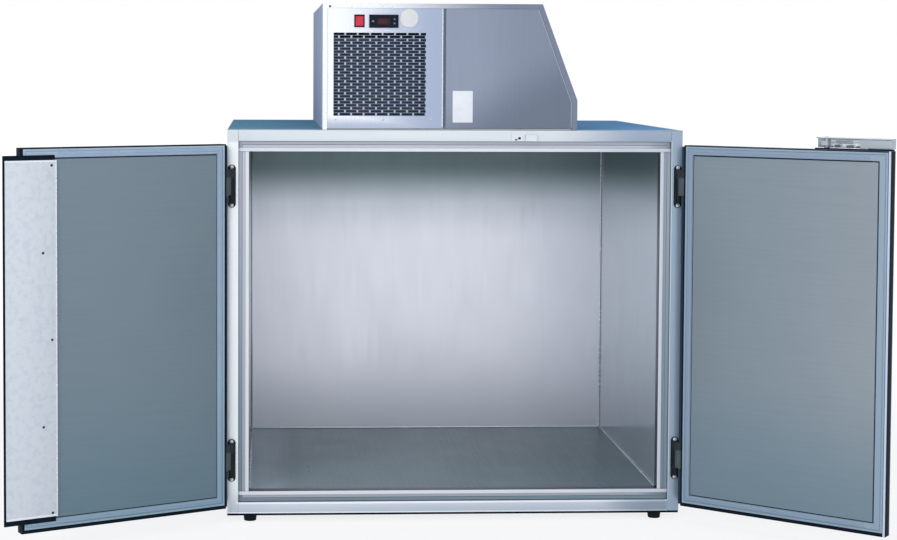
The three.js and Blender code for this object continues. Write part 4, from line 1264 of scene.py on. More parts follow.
@dataclass
class Cabinet:
    """The insulated box with its front frame, lining, feet and keeper."""

    wall: float = 0.056
    back_wall: float = 0.072
    rail_fold: float = 0.0006
    casing_fold: float = 0.0005
    mouth: float = 0.044
    seam: float = 0.0042
    seam_gap: float = 0.0003
    seam_lift: float = 0.0002
    keeper_face: tuple[float, float] = (-0.0023, -0.0019)
    keeper_slots: tuple[tuple[float, float, float, float], ...] = (
        (0.1520, 0.9685, 0.1585, 0.9725), (0.1600, 0.9715, 0.1675, 0.9775),
    )
    back_sheet: tuple[float, float] = (-0.0014, -0.0010)
    foot_inboard: float = 0.060
    foot_inset: float = 0.023
    foot_height: float = 0.022
    foot_outline: tuple[tuple[float, float], ...] = (
        (0.0, 0.0), (0.0148, 0.0), (0.0158, 0.0008), (0.0160, 0.0036), (0.0155, 0.0043),
        (0.0163, 0.0052), (0.0181, 0.0206), (0.0184, 0.0216), (0.0184, 0.0230), (0.0, 0.0230),
    )
    plinth: float = 0.0056
    screw_radius: float = 0.0042
    screw_columns: tuple[float, ...] = (-0.56, -0.336, -0.112, 0.112, 0.336, 0.56)
    screw_levels: tuple[float, ...] = (0.26, 0.5, 0.74)
    screw_inset: float = 0.025

    def build(self) -> None:
        """Dresses every piece of the cabinet."""
        for node in ("rail_left", "rail_right", "rail_top", "rail_bottom"):
            refine(node, self.rail_fold, Stock.FRAME)
        self.casing()
        self.lining()
        self.keeper()
        self.seams()
        self.feet()
        self.fixings()

    def casing(self) -> None:
        """Finishes the outer sheets."""
        refine("casing_left", self.casing_fold, Stock.SIDE)
        refine("casing_right", self.casing_fold, Stock.SIDE)
        inner, outer = (BACK + y for y in self.back_sheet)
        sheet = Workpiece().block((-SIDE, inner, 0.0), (SIDE, outer, HEIGHT), 0.0003)
        sheet.fit("casing_back_sheet", Stock.BACK, "cabinet", "side_steel", ["casing_back"])
        refine("casing_top", self.casing_fold, Stock.ROOF)
        carry("casing_base")
        carry("foam_jacket")

    def lining(self) -> None:
        """Finishes the sheets of the cavity."""
        carry("liner_left", Stock.LINER_LEFT)
        carry("liner_right", Stock.LINER_SIDE)
        carry("liner_back", Stock.LINER_BACK)
        carry("liner_floor", Stock.LINER_FLOOR)
        carry("liner_ceiling", Stock.LINER_TOP)

    def keeper(self) -> None:
        """Finishes the latch's keeper and adds its two slots."""
        carry("latch_keeper", Stock.FRAME)
        slots = Workpiece()
        front, back = (FRONT + y for y in self.keeper_face)
        for left, low, right, high in self.keeper_slots:
            slots.block((left, front, low), (right, back, high), 0.0004)
        slots.fit("keeper_slots", Stock.GAP, "cabinet", "bright_steel")

    def seams(self) -> None:
        """Adds the folded joints in the cavity's corners and along its floor."""
        half = SIDE - self.wall
        rear = BACK - self.back_wall
        low = self.wall + self.seam_lift
        high = HEIGHT - self.wall - 2 * self.seam_lift
        back = rear - self.seam_gap
        for word, sign, finish in (("left", -1, Stock.LINER_SIDE), ("right", 1, Stock.BRIGHT)):
            near = sign * (half - self.seam_gap - self.seam)
            far = sign * (half - self.seam_gap)
            seam = Workpiece().block((near, rear - self.seam, low), (far, back, high), 0.0012)
            seam.fit(f"corner_seam_{word}", finish, "cabinet", "liner_steel")
            joint = Workpiece().block(
                (near, FRONT + self.mouth, low), (far, rear - 0.0046, low + 0.0034), 0.0010
            )
            joint.fit(f"floor_seam_{word}", Stock.BRIGHT, "cabinet", "liner_steel")
        sill = Workpiece().block(
            (0.005 - half, rear - 0.0040, low), (half - 0.005, back, low + 0.0032), 0.0010
        )
        sill.fit("floor_seam_back", Stock.BRIGHT, "cabinet", "liner_steel")

    def feet(self) -> None:
        """Adds tapered rubber feet with a ribbed lower pad, and a dark strip between them that
        stands in for the shade under the front edge.
        """
        for across, sign in (("left", -1), ("right", 1)):
            for deep, way in (("front", -1), ("back", 1)):
                x = sign * (SIDE - self.foot_inboard)
                y = way * (BACK - self.foot_inset)
                name = f"foot_{deep}_{across}"
                Workpiece().spun(self.foot_outline, (x, y, -self.foot_height), 36).fit(
                    f"{name}_rubber", Stock.FOOT, "cabinet", "black_plastic", [name]
                )
        # The dark strip under the front edge is painted shade
        plinth = Workpiece().block(
            (0.0006 - SIDE, FRONT + 0.0010, -self.plinth), (SIDE - 0.0006, FRONT + 0.0034, 0.0002),
            0.0005,
        )
        plinth.fit("plinth_strip", Stock.DARK_SEAL, "cabinet", "dark_seal")

    def fixings(self) -> None:
        """Adds the rows of screws that hold the back sheet and the casing sides."""
        rows = [(x, z) for z in (self.screw_inset, HEIGHT - self.screw_inset)
                for x in self.screw_columns]
        ends = (self.screw_columns[0], self.screw_columns[-1])
        rows += [(x, z) for x in ends for z in self.screw_levels]
        places = [Vector((x, BACK - 0.0021, z)) for x, z in rows]
        screws("back_sheet_screws", places, (0, 1, 0), self.screw_radius, Stock.SCREW,
               "cabinet", "side_steel")


# The doors


@dataclass
class Door:
    """One insulated door, drawn closed as across, inward and up, and stood open."""

    side: Side
    opening: float
    width: float = 0.555
    bottom: float = 0.020
    top: float = 0.959
    thickness: float = 0.030
    sheet: float = 0.0028
    sheet_fold: float = 0.0012
    edge_turn: float = 0.0105
    side_rim: float = 0.006
    top_rim: float = 0.003
    bottom_rim: float = 0.0095
    seal_width: float = 0.022
    bellows_foot: float = 0.0030
    bellows_taper: float = 0.03
    bellows_gap: float = 0.0006
    pivot_inboard: float = 0.012
    pivot_forward: float = 0.012
    hinge_edge: float = 0.021
    stand: float = 0.0005
    covered: float = 0.048
    flap_reach: float = 0.0082
    flap_lap: float = 0.0012
    flap_inward: tuple[float, float] = (-0.0250, -0.0036)
    flap_end: float = 0.004
    hinge_levels: tuple[float, float] = (0.1393, 0.850)
    hinge_face: float = 0.0033
    barrel_edge: float = 0.5760
    barrel_soft: float = 0.0020
    wing_lit: float = 0.0200
    wing_soft: float = 0.0060
    hinge_screw: float = 0.0490
    hinge_screw_radius: float = 0.0052

    @property
    def word(self) -> str:
        """The door's name as the nodes and its body spell it."""
        return self.side.word

    @property
    def hinge_line(self) -> float:
        """How far right the hinges' axis stands."""
        return -self.side.value * (SIDE - self.pivot_inboard)

    def place(self) -> Matrix:
        """The move from the closed drawing to where the door stands.

        Returns:
            The move, which mirrors the right door.
        """
        sign = self.side.value
        pivot = Vector((self.hinge_line, FRONT - self.pivot_forward, 0.0))
        turn = Matrix.Rotation(math.radians(-sign * self.opening), 4, "Z")
        shift = Matrix.Translation((sign * self.hinge_edge, self.pivot_forward - self.stand, 0.0))
        return Matrix.Translation(pivot) @ turn @ shift @ Matrix.Diagonal((sign, 1.0, 1.0, 1.0))

    def spot(self, across: float, inward: float, up: float) -> Vector:
        """Where a point of the closed drawing stands."""
        return self.place() @ Vector((across, inward, up))

    def way(self, direction: Point) -> Point:
        """A direction of the closed drawing as it stands, with a length of 1."""
        return tuple((self.place().to_3x3() @ Vector(direction)).normalized())

    def corner(self, number: int, rim: float, inset: float, inward: float) -> Vector:
        """A point of a mitred ring at one corner of the door.

        Args:
            number: The corner, from the lower hinge side round by the free side.
            rim: The share of the rim's width that the point lies in by.
            inset: The further distance in from the edges.
            inward: The height above the door's inner face.

        Returns:
            The point in the closed drawing.
        """
        near = rim * self.side_rim + inset
        low = self.bottom + rim * self.bottom_rim + inset
        high = self.top - rim * self.top_rim - inset
        far = self.width - near
        x, z = ((near, low), (far, low), (far, high), (near, high))[number]
        return Vector((x, inward, z))

    def ring(self, section: Sequence[tuple[float, float, float]]) -> Workpiece:
        """A closed ring round the door, from the section's rim shares, insets and heights."""
        return Workpiece().swept([[self.corner(n, *p) for p in section] for n in range(4)], True)

    def fit(
        self, piece: Workpiece, name: str, finish: Finish, slot: str,
        replaces: Sequence[str] = (), body: str = "",
    ) -> None:
        """Stands a piece of the closed drawing in its place, on the door or the body named."""
        piece.moved(self.place()).fit(name, finish, body or self.word, slot, replaces)

    def build(self) -> None:
        """Dresses the whole door."""
        self.skin()
        self.edge()
        self.flap()
        self.seal()
        refine(f"{self.word}_liner", 0.0011, self.panel_finish(), 3)
        self.hinges()
        carry(f"{self.word}_core")

    def skin(self) -> None:
        """The outer sheet, folded a little way round the edges."""
        low = (0.0, -self.thickness, self.bottom)
        high = (self.width, self.sheet - self.thickness, self.top)
        piece = Workpiece().block(low, high, self.sheet_fold, 3)
        self.fit(piece, f"{self.word}_outer_sheet", Stock.SIDE, "side_steel")

    def edge(self) -> None:
        """The dark edge that runs round the door and turns in under the seal."""
        inner = self.seal_width + self.edge_turn
        outer = self.sheet - self.thickness
        piece = self.ring((
            (0, 0.0003, outer), (0, 0.0, -0.0012), (0, 0.0004, -0.0003),
            (0, 0.0014, 0.0), (0, 0.0046, 0.0), (1, inner, -0.0001), (1, inner, -0.0012),
            (0, 0.0014, -0.0013), (0, 0.0013, outer),
        ))
        self.fit(piece, f"{self.word}_edge", self.edge_finish(), "door_skin", [f"{self.word}_pan"])

    def edge_finish(self) -> Finish:
        """The edge's paint, with a painted highlight along the free edge of the right door.

        Returns:
            The paint.
        """
        shines = self.side is Side.RIGHT
        across, inward = self.way((1, 0, 0)), self.way((0, 1, 0))
        spot = self.spot(self.width, 0, 0)
        # The right door's edge is painted paler along its top, as light
        pale = Wash(UPWARDS, self.top - 0.0007, self.top - 0.0003, srgb(126, 140, 156), 0.9)
        return DoorEdge(
            f"{self.word}_edge_paint", across, inward, free=Vector(across).dot(spot),
            face=Vector(inward).dot(spot), shine=float(shines), washes=(pale,) if shines else (),
        )

    def flap(self) -> None:
        """A dark strip beside the hinges, which stands in for the shade in the gap there."""
        stops = [self.bottom + self.flap_end, self.top - self.flap_end]
        for level in ("lower", "upper"):
            stops += [corner[2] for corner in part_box(f"{self.word}_{level}_hinge_wing")]
        stops.sort()
        strip = Workpiece()
        outer, inner = self.flap_inward
        for low, high in zip(stops[::2], stops[1::2]):
            strip.block((-self.flap_reach, outer, low), (self.flap_lap, inner, high), 0.0012, 3)
        self.fit(strip, f"{self.word}_hinge_side_strip", Stock.FLAP, "dark_seal")

    def seal(self) -> None:
        """The seal's flat ring with its outer lip, crease and body, and the raised bellows."""
        ring = self.ring((
            (1, 0.0003, 0.0003), (1, 0.0004, 0.0024), (1, 0.0012, 0.0032), (1, 0.0040, 0.0032),
            (1, 0.0052, 0.0025), (1, 0.0060, 0.0010), (1, 0.0070, 0.0026), (1, 0.0084, 0.0036),
            (1, 0.0190, 0.0036), (1, 0.0212, 0.0030), (1, self.seal_width, 0.0018),
            (1, self.seal_width, 0.0003),
        ))
        self.fit(ring, f"{self.word}_seal_ring", Stock.SEAL_RING, "seal", [f"{self.word}_seal"])
        foot = self.bellows_foot
        bellows = (
            (1, 0.0094, foot), (1, 0.0090, 0.0048), (1, 0.0098, 0.0065), (1, 0.0116, 0.0072),
            (1, 0.0136, 0.0072), (1, 0.0147, 0.0062), (1, 0.0158, 0.0072), (1, 0.0184, 0.0072),
            (1, 0.0202, 0.0065), (1, 0.0210, 0.0048), (1, 0.0206, foot),
        )
        stop = self.width - self.covered - self.bellows_gap
        taper = stop - self.bellows_taper
        path = []
        for number, reach, share in (
            (1, stop, 0.1), (1, taper, 1.0), (0, None, 1.0), (3, None, 1.0), (2, taper, 1.0),
            (2, stop, 0.1),
        ):
            points = [self.corner(number, *p) for p in bellows]
            for point in points:
                point.y = foot + (point.y - foot) * share
                point.x = point.x if reach is None else reach
            path.append(points)
        piece = Workpiece().swept(path, False)
        self.fit(piece, f"{self.word}_seal_bellows", Stock.SEAL, "seal")

    def panel_finish(self) -> Finish:
        """The inner panel's steel, painted darker on the left door and lighter on the right, as
        shade and light.

        Returns:
            The steel.
        """
        # Both panels darken downwards as painted shade, and the right one is painted lighter towards
        # its free edge
        if self.side is Side.LEFT:
            name, colour = "left_panel_steel", srgb(111, 128, 138)
            washes = (Wash(DOWNWARDS, -0.45, -0.02, srgb(92, 119, 132), 0.8),)
        else:
            name, colour = "right_panel_steel", srgb(130, 144, 153)
            way = self.way((1, 0, 0))
            hinge = Vector(way).dot(self.spot(0, 0, 0))
            washes = (
                Wash(way, hinge + 0.2, hinge + 0.55, srgb(144, 152, 159), 0.8),
                Wash(DOWNWARDS, -0.45, -0.02, srgb(106, 130, 143), 0.85),
            )
        return BrushedSteel(name, colour, Grain.LEVEL, 0.2, 0.4, 0.12, 0.12, washes=washes)

    def wing_finish(self, level: str, centre: float) -> Finish:
        """The grey of a hinge's wing, which is dark on its barrel and towards its ends.

        Args:
            level: The hinge's word.
            centre: The height of its middle.

        Returns:
            The paint.
        """
        grey, worn = srgb(78, 90, 94), srgb(98, 109, 113)
        if self.side is Side.LEFT:
            grey, worn = srgb(74, 86, 90), srgb(96, 106, 110)
        dark, dim = srgb(16, 22, 27), srgb(36, 44, 50)
        barrel = (self.side.value, 0, 0)
        edges = (-self.barrel_edge - self.barrel_soft, -self.barrel_edge + self.barrel_soft)
        lit, dull = self.wing_lit, self.wing_lit + self.wing_soft
        return Paint(
            f"{self.word}_{level}_wing_grey", grey, worn, 0.42, 0.1, 0.2,
            washes=(
                Wash(barrel, *edges, dark),
                Wash(UPWARDS, centre + lit, centre + dull, dim, 0.85),
                Wash(DOWNWARDS, lit - centre, dull - centre, dim, 0.85),
            ),
        )

    def hinges(self) -> None:
        """Both hinges, with two bright screws in each leaf."""
        for level, centre in zip(("lower", "upper"), self.hinge_levels):
            name = f"{self.word}_{level}_hinge"
            refine(f"{name}_leaf", 0.0006)
            refine(f"{name}_wing", 0.0006, self.wing_finish(level, centre))
            places = [
                Vector((self.hinge_line, FRONT - self.hinge_face, centre + up))
                for up in (-self.hinge_screw, self.hinge_screw)
            ]
            screws(f"{name}_screws", places, (0, -1, 0), self.hinge_screw_radius, Stock.SCREW,
                   "cabinet", "bright_steel")


@dataclass
class CentreStrip:
    """The strip on the left door that covers the gap between the doors."""

    door: Door
    width: float = 0.1376
    overhang: float = 0.048
    low: float = 0.0575
    high: float = 0.929
    back: float = 0.0073
    face: float = 0.0085
    rubber_inset: float = 0.004
    far_inset: float = 0.005
    root: float = 0.0003
    hem: float = 0.0030
    hem_half: float = 0.0028
    hem_rise: float = 0.0010
    fold_rise: float = 0.0007
    screw_count: int = 5
    screw_radius: float = 0.0034
    screw_low: float = 0.0090
    screw_pitch: float = 0.2124
    screw_columns: tuple[float, float] = (0.013, 0.036)

    def build(self) -> None:
        """Dresses the rubber, the plate with its hems and its screws."""
        free = self.door.width + self.overhang
        near, far = free - self.width, free - self.far_inset
        self.rubber(near + self.rubber_inset)
        plate = Workpiece().block((near, self.back, self.low), (far, self.face, self.high), 0.0005)
        self.door.fit(plate, "astragal_plate_sheet", Stock.PLATE, "light_plate", ["astragal_plate"])
        root, top = self.face - self.root, self.face + self.hem_rise
        for word, z in (("lower", self.low + self.hem), ("upper", self.high - self.hem)):
            low, high = (near, root, z - self.hem_half), (far, top, z + self.hem_half)
            hem = Workpiece().block(low, high, 0.0009, 3)
            self.door.fit(hem, f"astragal_hem_{word}", Stock.BRIGHT, "light_plate")
        edge = (near + self.hem, self.face + self.fold_rise, self.high)
        fold = Workpiece().block((near, root, self.low), edge, 0.0008)
        self.door.fit(fold, "astragal_fold", Stock.BRIGHT, "light_plate")
        places = [
            self.door.spot(
                near + self.screw_columns[row % 2], self.face,
                self.low + self.screw_low + row * self.screw_pitch,
            )
            for row in range(self.screw_count)
        ]
        screws("astragal_screws", places, self.door.way((0, 1, 0)), self.screw_radius,
               Stock.SCREW_DARK, "left_door", "light_plate")

    def rubber(self, edge: float) -> None:
        """The flat seal under the plate.

        Args:
            edge: How far across the door its near edge is drawn in to.
        """
        piece = Workpiece.of_node("astragal_seal").moved(self.door.place().inverted())
        for vert in piece.mesh.verts:
            vert.co.x = max(vert.co.x, edge)
        piece.moved(self.door.place()).rounded(0.0006).fit(
            "astragal_seal_finished", Stock.DARK_SEAL, "left_door", "dark_seal", ["astragal_seal"]
        )


@dataclass
class Latch:
    """The lever latch on the right door's top edge, measured from the door's free upper edge."""

    door: Door
    pivot_inboard: float = 0.173
    pivot_outward: float = 0.020
    rod_height: float = 0.0185
    rod_inward: float = -0.016
    rod_radius: float = 0.0014
    coils: int = 13
    coil_first: float = 0.026
    coil_pitch: float = 0.0034
    coil_radius: float = 0.0030
    wire: float = 0.0009
    screw_radius: float = 0.0034
    base_screws: tuple[float, ...] = (0.085, 0.110, 0.145)
    rod_ends: tuple[float, float] = (0.010, 0.088)
    pin_levels: tuple[float, float] = (0.0298, 0.0316)
    pin_radii: tuple[float, float] = (0.0062, 0.0054)
    # A dark rest under the lever, standing in for its shadow
    rest_pad: tuple[Point, Point] = ((0.067, -0.027, -0.0003), (0.002, -0.003, 0.0034))
    rest_bar: tuple[Point, Point] = ((0.199, -0.0105, -0.0002), (0.066, -0.0062, 0.0036))
    # A painted shadow line under the lever's upper edge
    line: tuple[Point, Point] = ((0.1690, -0.0103, 0.0253), (0.0015, -0.0094, 0.0264))
    back: tuple[Point, Point] = ((0.1650, -0.0225, 0.0046), (0.0838, -0.0205, 0.0268))
    # Dark spots of painted shade on the lever's works
    cut_outs: tuple[tuple[float, float, float, float], ...] = (
        (0.086, 0.095, 0.0052, 0.0094), (0.102, 0.120, 0.0046, 0.0112),
        (0.136, 0.150, 0.0058, 0.0124), (0.154, 0.160, 0.0050, 0.0096),
    )

    def at(self, inboard: float, inward: float, up: float) -> Point:
        """A point of the door's closed drawing, from its free upper edge."""
        return (self.door.width - inboard, inward, self.door.top + up)

    def build(self) -> None:
        """Dresses the lever, its base and its small parts."""
        refine("latch_lever", 0.0007, Stock.LEVER)
        refine("latch_bracket", 0.0004)
        self.pin()
        self.spring()
        self.base()
        self.shading()
        back = Workpiece().block(*(self.at(*corner) for corner in self.back), 0.0006)
        self.door.fit(back, "latch_back_plate", Stock.BRIGHT, "bright_steel", body="latch")

    def pin(self) -> None:
        """Adds the pin's head on top of the lever."""
        foot, head = (
            self.at(self.pivot_inboard, -self.pivot_outward, up) for up in self.pin_levels
        )
        cap = Workpiece().rod(foot, head, *self.pin_radii, 0.0005)
        self.door.fit(cap, "latch_pin_head", Stock.SCREW, "bright_steel", body="latch")

    def spring(self) -> None:
        """Adds the return spring on its rod between the pivot and the grip."""
        start, end = (
            self.at(self.pivot_inboard - reach, self.rod_inward, self.rod_height)
            for reach in self.rod_ends
        )
        rod = Workpiece().rod(start, end, self.rod_radius)
        self.door.fit(rod, "latch_rod", Stock.SCREW, "bright_steel", body="latch")
        ring = [
            (self.coil_radius + self.wire * math.cos(a), self.wire * math.sin(a))
            for a in (math.tau * k / 6 for k in range(6))
        ]
        spring = Workpiece()
        for index in range(self.coils):
            reach = self.coil_first + self.coil_pitch * index
            place = self.at(self.pivot_inboard - reach, self.rod_inward, self.rod_height)
            spring.joined(
                Workpiece().spun([*ring, ring[0]], (0, 0, 0), 16),
                Matrix.Translation(place) @ Matrix.Rotation(math.radians(90), 4, "Y"),
            )
        self.door.fit(spring, "latch_spring", Stock.SCREW, "bright_steel", body="latch")

    def base(self) -> None:
        """Adds the base's screws and a dark rest under the lever, which stands in for the shadow
        there.
        """
        places = [self.door.spot(*self.at(u, -0.012, 0.0022)) for u in self.base_screws]
        screws("latch_base_screws", places, UPWARDS, self.screw_radius, Stock.SCREW_DARK,
               "right_door", "galvanised")
        rest = Workpiece().block(*(self.at(*corner) for corner in self.rest_pad), 0.0008)
        rest.block(*(self.at(*corner) for corner in self.rest_bar), 0.0006)
        self.door.fit(rest, "latch_rest", Stock.DARK_SEAL, "dark_seal")

    def shading(self) -> None:
        """Adds dark spots of painted shade on the lever's works and a painted shadow line under its
        upper edge.
        """
        shade = Workpiece().block(*(self.at(*corner) for corner in self.line), 0.0003)
        for start, end, low, high in self.cut_outs:
            shade.block(self.at(end, -0.0150, low), self.at(start, -0.0112, high), 0.0018, 3)
        self.door.fit(shade, "latch_cut_outs", Stock.GAP, "bright_steel", body="latch")


# The refrigeration unit


@dataclass
class CoolingUnit:
    """The refrigeration unit on the roof, with its controls and its works.

    Its places are millimetres to the right, up and out from its lower left front corner.
    """

    left: float = -0.346
    floor: float = 0.9953
    screw_radius: float = 0.0030
    panel_screws: tuple[tuple[float, float], ...] = ((33.6, 26.5), (156.7, 26.3), (280, 27.8))
    top_screw: tuple[float, float] = (19, 317)
    bend: tuple[Point, ...] = ((557.2, 310.2, 0.2), (644.2, 72.0, 0.2), (644.2, 6.0, 0.2))
    disc: tuple[float, float] = (223, 287)
    digits: tuple[float, ...] = (145.0, 152.5, 160.0)
    bars: tuple[float, ...] = (273.6, 278.3, 283.0)
    bar: float = 0.9

    def at(self, right: float, up: float, out: float = 0.0) -> Vector:
        """The place in metres."""
        return Vector((self.left + right / 1000, FRONT - out / 1000, self.floor + up / 1000))

    def build(self) -> None:
        """Dresses the unit."""
        self.housing()
        self.fixings()
        self.folds()
        self.plates()
        self.controls()
        self.window()
        self.key_marks()
        self.works()

    def housing(self) -> None:
        """Rounds the sheets and finishes the panels."""
        refine("unit_hood", 0.0009, Stock.HOOD, 3)
        carry("grille_panel", Stock.GRILLE)
        refine("plain_panel", 0.0008, Stock.PLAIN, 3)
        for node in ("unit_base", "unit_back_panel", "power_inlet"):
            carry(node)

    def fixings(self) -> None:
        """Adds the screws of the slotted panel."""
        for name, finish, spots in (
            ("grille_panel_screws", Stock.SCREW, self.panel_screws),
            ("grille_panel_top_screw", Stock.SCREW_DARK, (self.top_screw,)),
        ):
            screws(name, [self.at(*spot, 0.1) for spot in spots], (0, -1, 0), self.screw_radius,
                   finish, "cabinet", "bright_steel")

    def folds(self) -> None:
        """Adds the bright fold, the gap beside it and the plain panel's bent edge."""
        fold = Workpiece().block(self.at(308.2, 8.5, -0.6), self.at(310.8, 311.5, 0.5), 0.0008, 3)
        fold.fit("grille_panel_fold", Stock.BRIGHT, "cabinet", "bright_steel")
        gap = Workpiece().block(self.at(311.4, 8.5, -1.4), self.at(317.2, 311.5, -0.7), 0.0002)
        gap.fit("panel_gap", Stock.GAP, "cabinet", "bright_steel")
        line = Workpiece()
        for start, end in zip(self.bend, self.bend[1:]):
            line.rod(self.at(*start), self.at(*end), 0.0011, edge=0.0004, sides=10)
        line.fit("plain_panel_fold", Stock.SIDE, "cabinet", "bright_steel")

    def plates(self) -> None:
        """Adds the plain disc and the plain label plate."""
        disc = Workpiece().rod(
            self.at(*self.disc, -0.2), self.at(*self.disc, 1.6), 0.024, 0.0232, 0.0005, 56
        )
        disc.fit("plain_disc", Stock.DISC, "cabinet", "bright_steel")
        plate = Workpiece().block(self.at(336, 19.4, -0.1), self.at(388, 101, 0.7), 0.0003)
        plate.fit("plain_label_plate", Stock.CARD, "cabinet", "light_plate")

    def controls(self) -> None:
        """Rounds the rocker switch, the controller's case and its keys."""
        refine("switch_bezel", 0.0005)
        refine("power_rocker", 0.0005)
        refine("controller_case", 0.0009, segments=3)
        for node in ("key_set", "key_up", "key_down"):
            refine(node, 0.0003)

    def window(self) -> None:
        """Adds the controller's window with three dim figures, and the line under it."""
        window = Workpiece().block(self.at(139.6, 270.3, 2.85), self.at(173.6, 287.3, 3.3), 0.0003)
        window.fit("controller_window", Stock.DISPLAY, "cabinet", "black_plastic")
        digits = Workpiece()
        for left in self.digits:
            for low in self.bars:
                digits.block(self.at(left, low, 3.25), self.at(left + 4.2, low + self.bar, 3.40))
            for side in (left - 0.5, left + 3.8):
                digits.block(self.at(side, 274.0, 3.25), self.at(side + self.bar, 283.5, 3.40))
        digits.fit("controller_digits", Stock.DIGIT, "cabinet", "black_plastic")
        line = Workpiece().block(self.at(148.0, 264.9, 3.95), self.at(165.0, 265.9, 4.12))
        line.fit("controller_line", Stock.SYMBOL, "cabinet", "black_plastic")

    def key_marks(self) -> None:
        """Adds the raised marks on the keys: two arrow heads and a dot."""
        for key, sides, turn in (("key_up", 3, 0.0), ("key_down", 3, math.pi), ("key_set", 24, 0.0)):
            low, high = (Vector(corner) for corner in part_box(key))
            middle = Vector(((low.x + high.x) / 2, low.y - 0.0001, (low.z + high.z) / 2))
            mark = Workpiece().rod((0, 0, -0.0001), (0, 0, 0.0001), 0.0018, sides=sides)
            upright = Matrix.Rotation(math.radians(90), 4, "X")
            mark.moved(Matrix.Translation(middle) @ upright @ Matrix.Rotation(turn, 4, "Z"))
            mark.fit(f"{key}_mark", Stock.SYMBOL, BODY_OF[key], "black_plastic")

    def works(self) -> None:
        """Finishes what lies inside the unit and over the cavity."""
        carry("condenser_coil", Stock.CONDENSER)
        for node in (
            "condenser_shroud", "condenser_fan", "compressor", "evaporator_box",
            "evaporator_coil", "ceiling_grille", "evaporator_fan",
        ):
            carry(node)


# The studio


@dataclass(frozen=True)
class SoftBox:
    """A square lamp that shines at a place and isn't mirrored."""

    name: str
    place: Point
    aim: Point
    size: float
    power: float

    def hang(self) -> None:
        """Hangs the lamp."""
        data = bpy.data.lights.new(self.name, "AREA")
        data.shape = "SQUARE"
        data.size = self.size
        data.energy = self.power
        lamp = show(self.name, data)
        lamp.visible_glossy = False
        lamp.location = self.place
        way = Vector(self.aim) - Vector(self.place)
        lamp.rotation_euler = way.to_track_quat("-Z", "Y").to_euler()


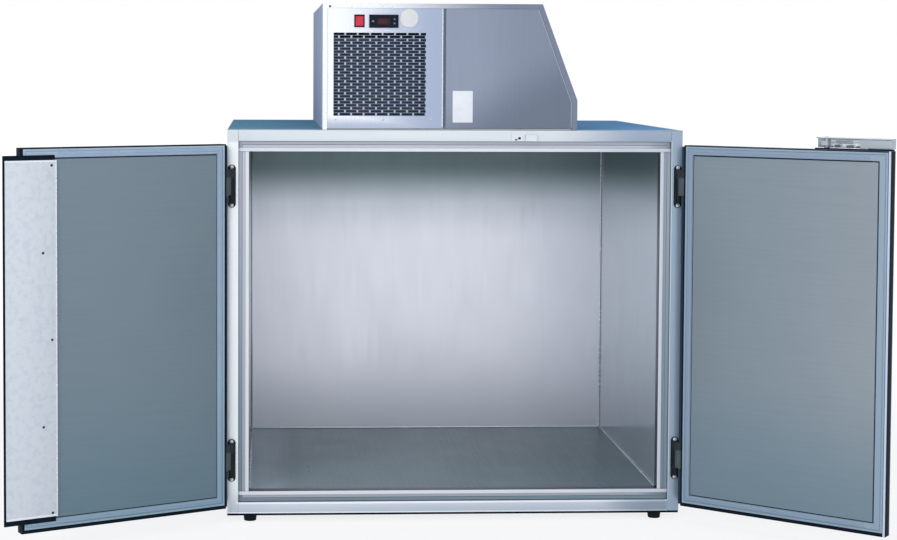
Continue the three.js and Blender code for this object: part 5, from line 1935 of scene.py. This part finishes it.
@dataclass
class Studio:
    """The floor, the light and the camera."""

    eye: Point = (-0.4936, -5.4636, 1.1555)
    yaw: float = -2.78
    pitch: float = 2.80
    roll: float = 0.23
    lens: float = 77.83
    sensor: float = 36.0
    shift: tuple[float, float] = (0.10, -0.12)
    floor_height: float = -0.0222
    floor_reach: float = 30.0
    floor_tone: Colour = (0.84, 0.85, 0.87)
    floor_glow: float = 1.08
    floor_share: float = 0.74
    fade: tuple[float, float] = (1.2, 4.5)
    white: Colour = (1.0, 1.0, 1.0)
    sky: Colour = (0.86, 0.90, 1.0)
    sky_strength: float = 0.46
    lamps: tuple[SoftBox, ...] = (
        SoftBox("key", (-5.5, -7.5, 4.6), (0.0, 0.0, 0.6), 4.0, 300.0),
        SoftBox("fill", (6.0, -7.5, 2.6), (0.0, 0.0, 0.5), 4.0, 90.0),
        SoftBox("front", (-0.4, -9.0, 1.3), (0.0, 0.0, 0.5), 3.0, 190.0),
        SoftBox("top", (0.0, -0.4, 5.0), (0.0, 0.0, 0.5), 3.4, 40.0),
    )

    def build(self) -> None:
        """Sets up the whole studio."""
        self.camera()
        self.floor()
        self.world()
        for lamp in self.lamps:
            lamp.hang()
        bpy.context.scene.view_settings.view_transform = "Standard"

    def camera(self) -> None:
        """Stands the camera where the photograph was taken from."""
        yaw, pitch, roll = (math.radians(a) for a in (self.yaw, self.pitch, self.roll))
        right = Vector((math.cos(yaw), math.sin(yaw), 0.0))
        ahead = Vector((-math.sin(yaw), math.cos(yaw), 0.0))
        up = Vector((0.0, 0.0, 1.0))
        view = ahead * math.cos(pitch) - up * math.sin(pitch)
        above = up * math.cos(pitch) + ahead * math.sin(pitch)
        across = right * math.cos(roll) + above * math.sin(roll)
        above = above * math.cos(roll) - right * math.sin(roll)
        data = bpy.data.cameras.new("camera")
        data.lens = self.lens
        data.sensor_width = self.sensor
        data.sensor_fit = "HORIZONTAL"
        data.shift_x, data.shift_y = self.shift
        data.clip_end = 100.0
        camera = show("camera", data)
        turn = Matrix((across, above, -view)).transposed().to_4x4()
        camera.matrix_world = Matrix.Translation(self.eye) @ turn
        bpy.context.scene.camera = camera

    def floor(self) -> None:
        """Lays a plain pale floor that shows white and keeps a soft shadow."""
        mesh = bmesh.new()
        bmesh.ops.create_grid(
            mesh, x_segments=1, y_segments=1, size=self.floor_reach,
            matrix=Matrix.Translation((0, 0, self.floor_height)),
        )
        data = bpy.data.meshes.new("studio_floor")
        mesh.to_mesh(data)
        mesh.free()
        data.materials.append(self.floor_material())
        show("studio_floor", data)

    def floor_material(self) -> bpy.types.Material:
        """A matt floor that the camera and mirrors see as nearly white, more so further away.

        Returns:
            The material.
        """
        recipe = Recipe("studio_floor")
        away = (recipe.x * recipe.x + recipe.y * recipe.y) ** 0.5
        matt = recipe.node("ShaderNodeBsdfDiffuse", inputs={"Color": self.floor_tone})
        glow = {"Color": self.white, "Strength": self.floor_glow}
        white = recipe.node("ShaderNodeEmission", inputs=glow)
        share = self.floor_share + away.rise(*self.fade) * (1 - self.floor_share)
        shaders = {0: recipe.seen() * share, 1: matt.outputs[0], 2: white.outputs[0]}
        mixed = recipe.node("ShaderNodeMixShader", inputs=shaders)
        recipe.node("ShaderNodeOutputMaterial", inputs={"Surface": mixed.outputs[0]})
        return recipe.owner

    def world(self) -> None:
        """Lights the room evenly, and shows white behind it and in reflections."""
        recipe = Recipe("studio", world=True)
        bpy.context.scene.world = recipe.owner
        plain, white = (
            recipe.node("ShaderNodeBackground", inputs={"Color": colour, "Strength": strength})
            for colour, strength in ((self.sky, self.sky_strength), (self.white, 1.0))
        )
        shaders = {0: recipe.seen(), 1: plain.outputs[0], 2: white.outputs[0]}
        mixed = recipe.node("ShaderNodeMixShader", inputs=shaders)
        recipe.node("ShaderNodeOutputWorld", inputs={"Surface": mixed.outputs[0]})


def main() -> None:
    """Builds the studio and every sub-assembly."""
    logging.basicConfig(level=logging.INFO, format="%(message)s")
    Studio().build()
    Cabinet().build()
    left = Door(Side.LEFT, 151.8, covered=0.0896, flap_reach=0.0050, barrel_edge=0.5800)
    right = Door(Side.RIGHT, 139.9)
    left.build()
    right.build()
    CentreStrip(left).build()
    Latch(right).build()
    CoolingUnit().build()


if __name__ == "__main__":
    main()
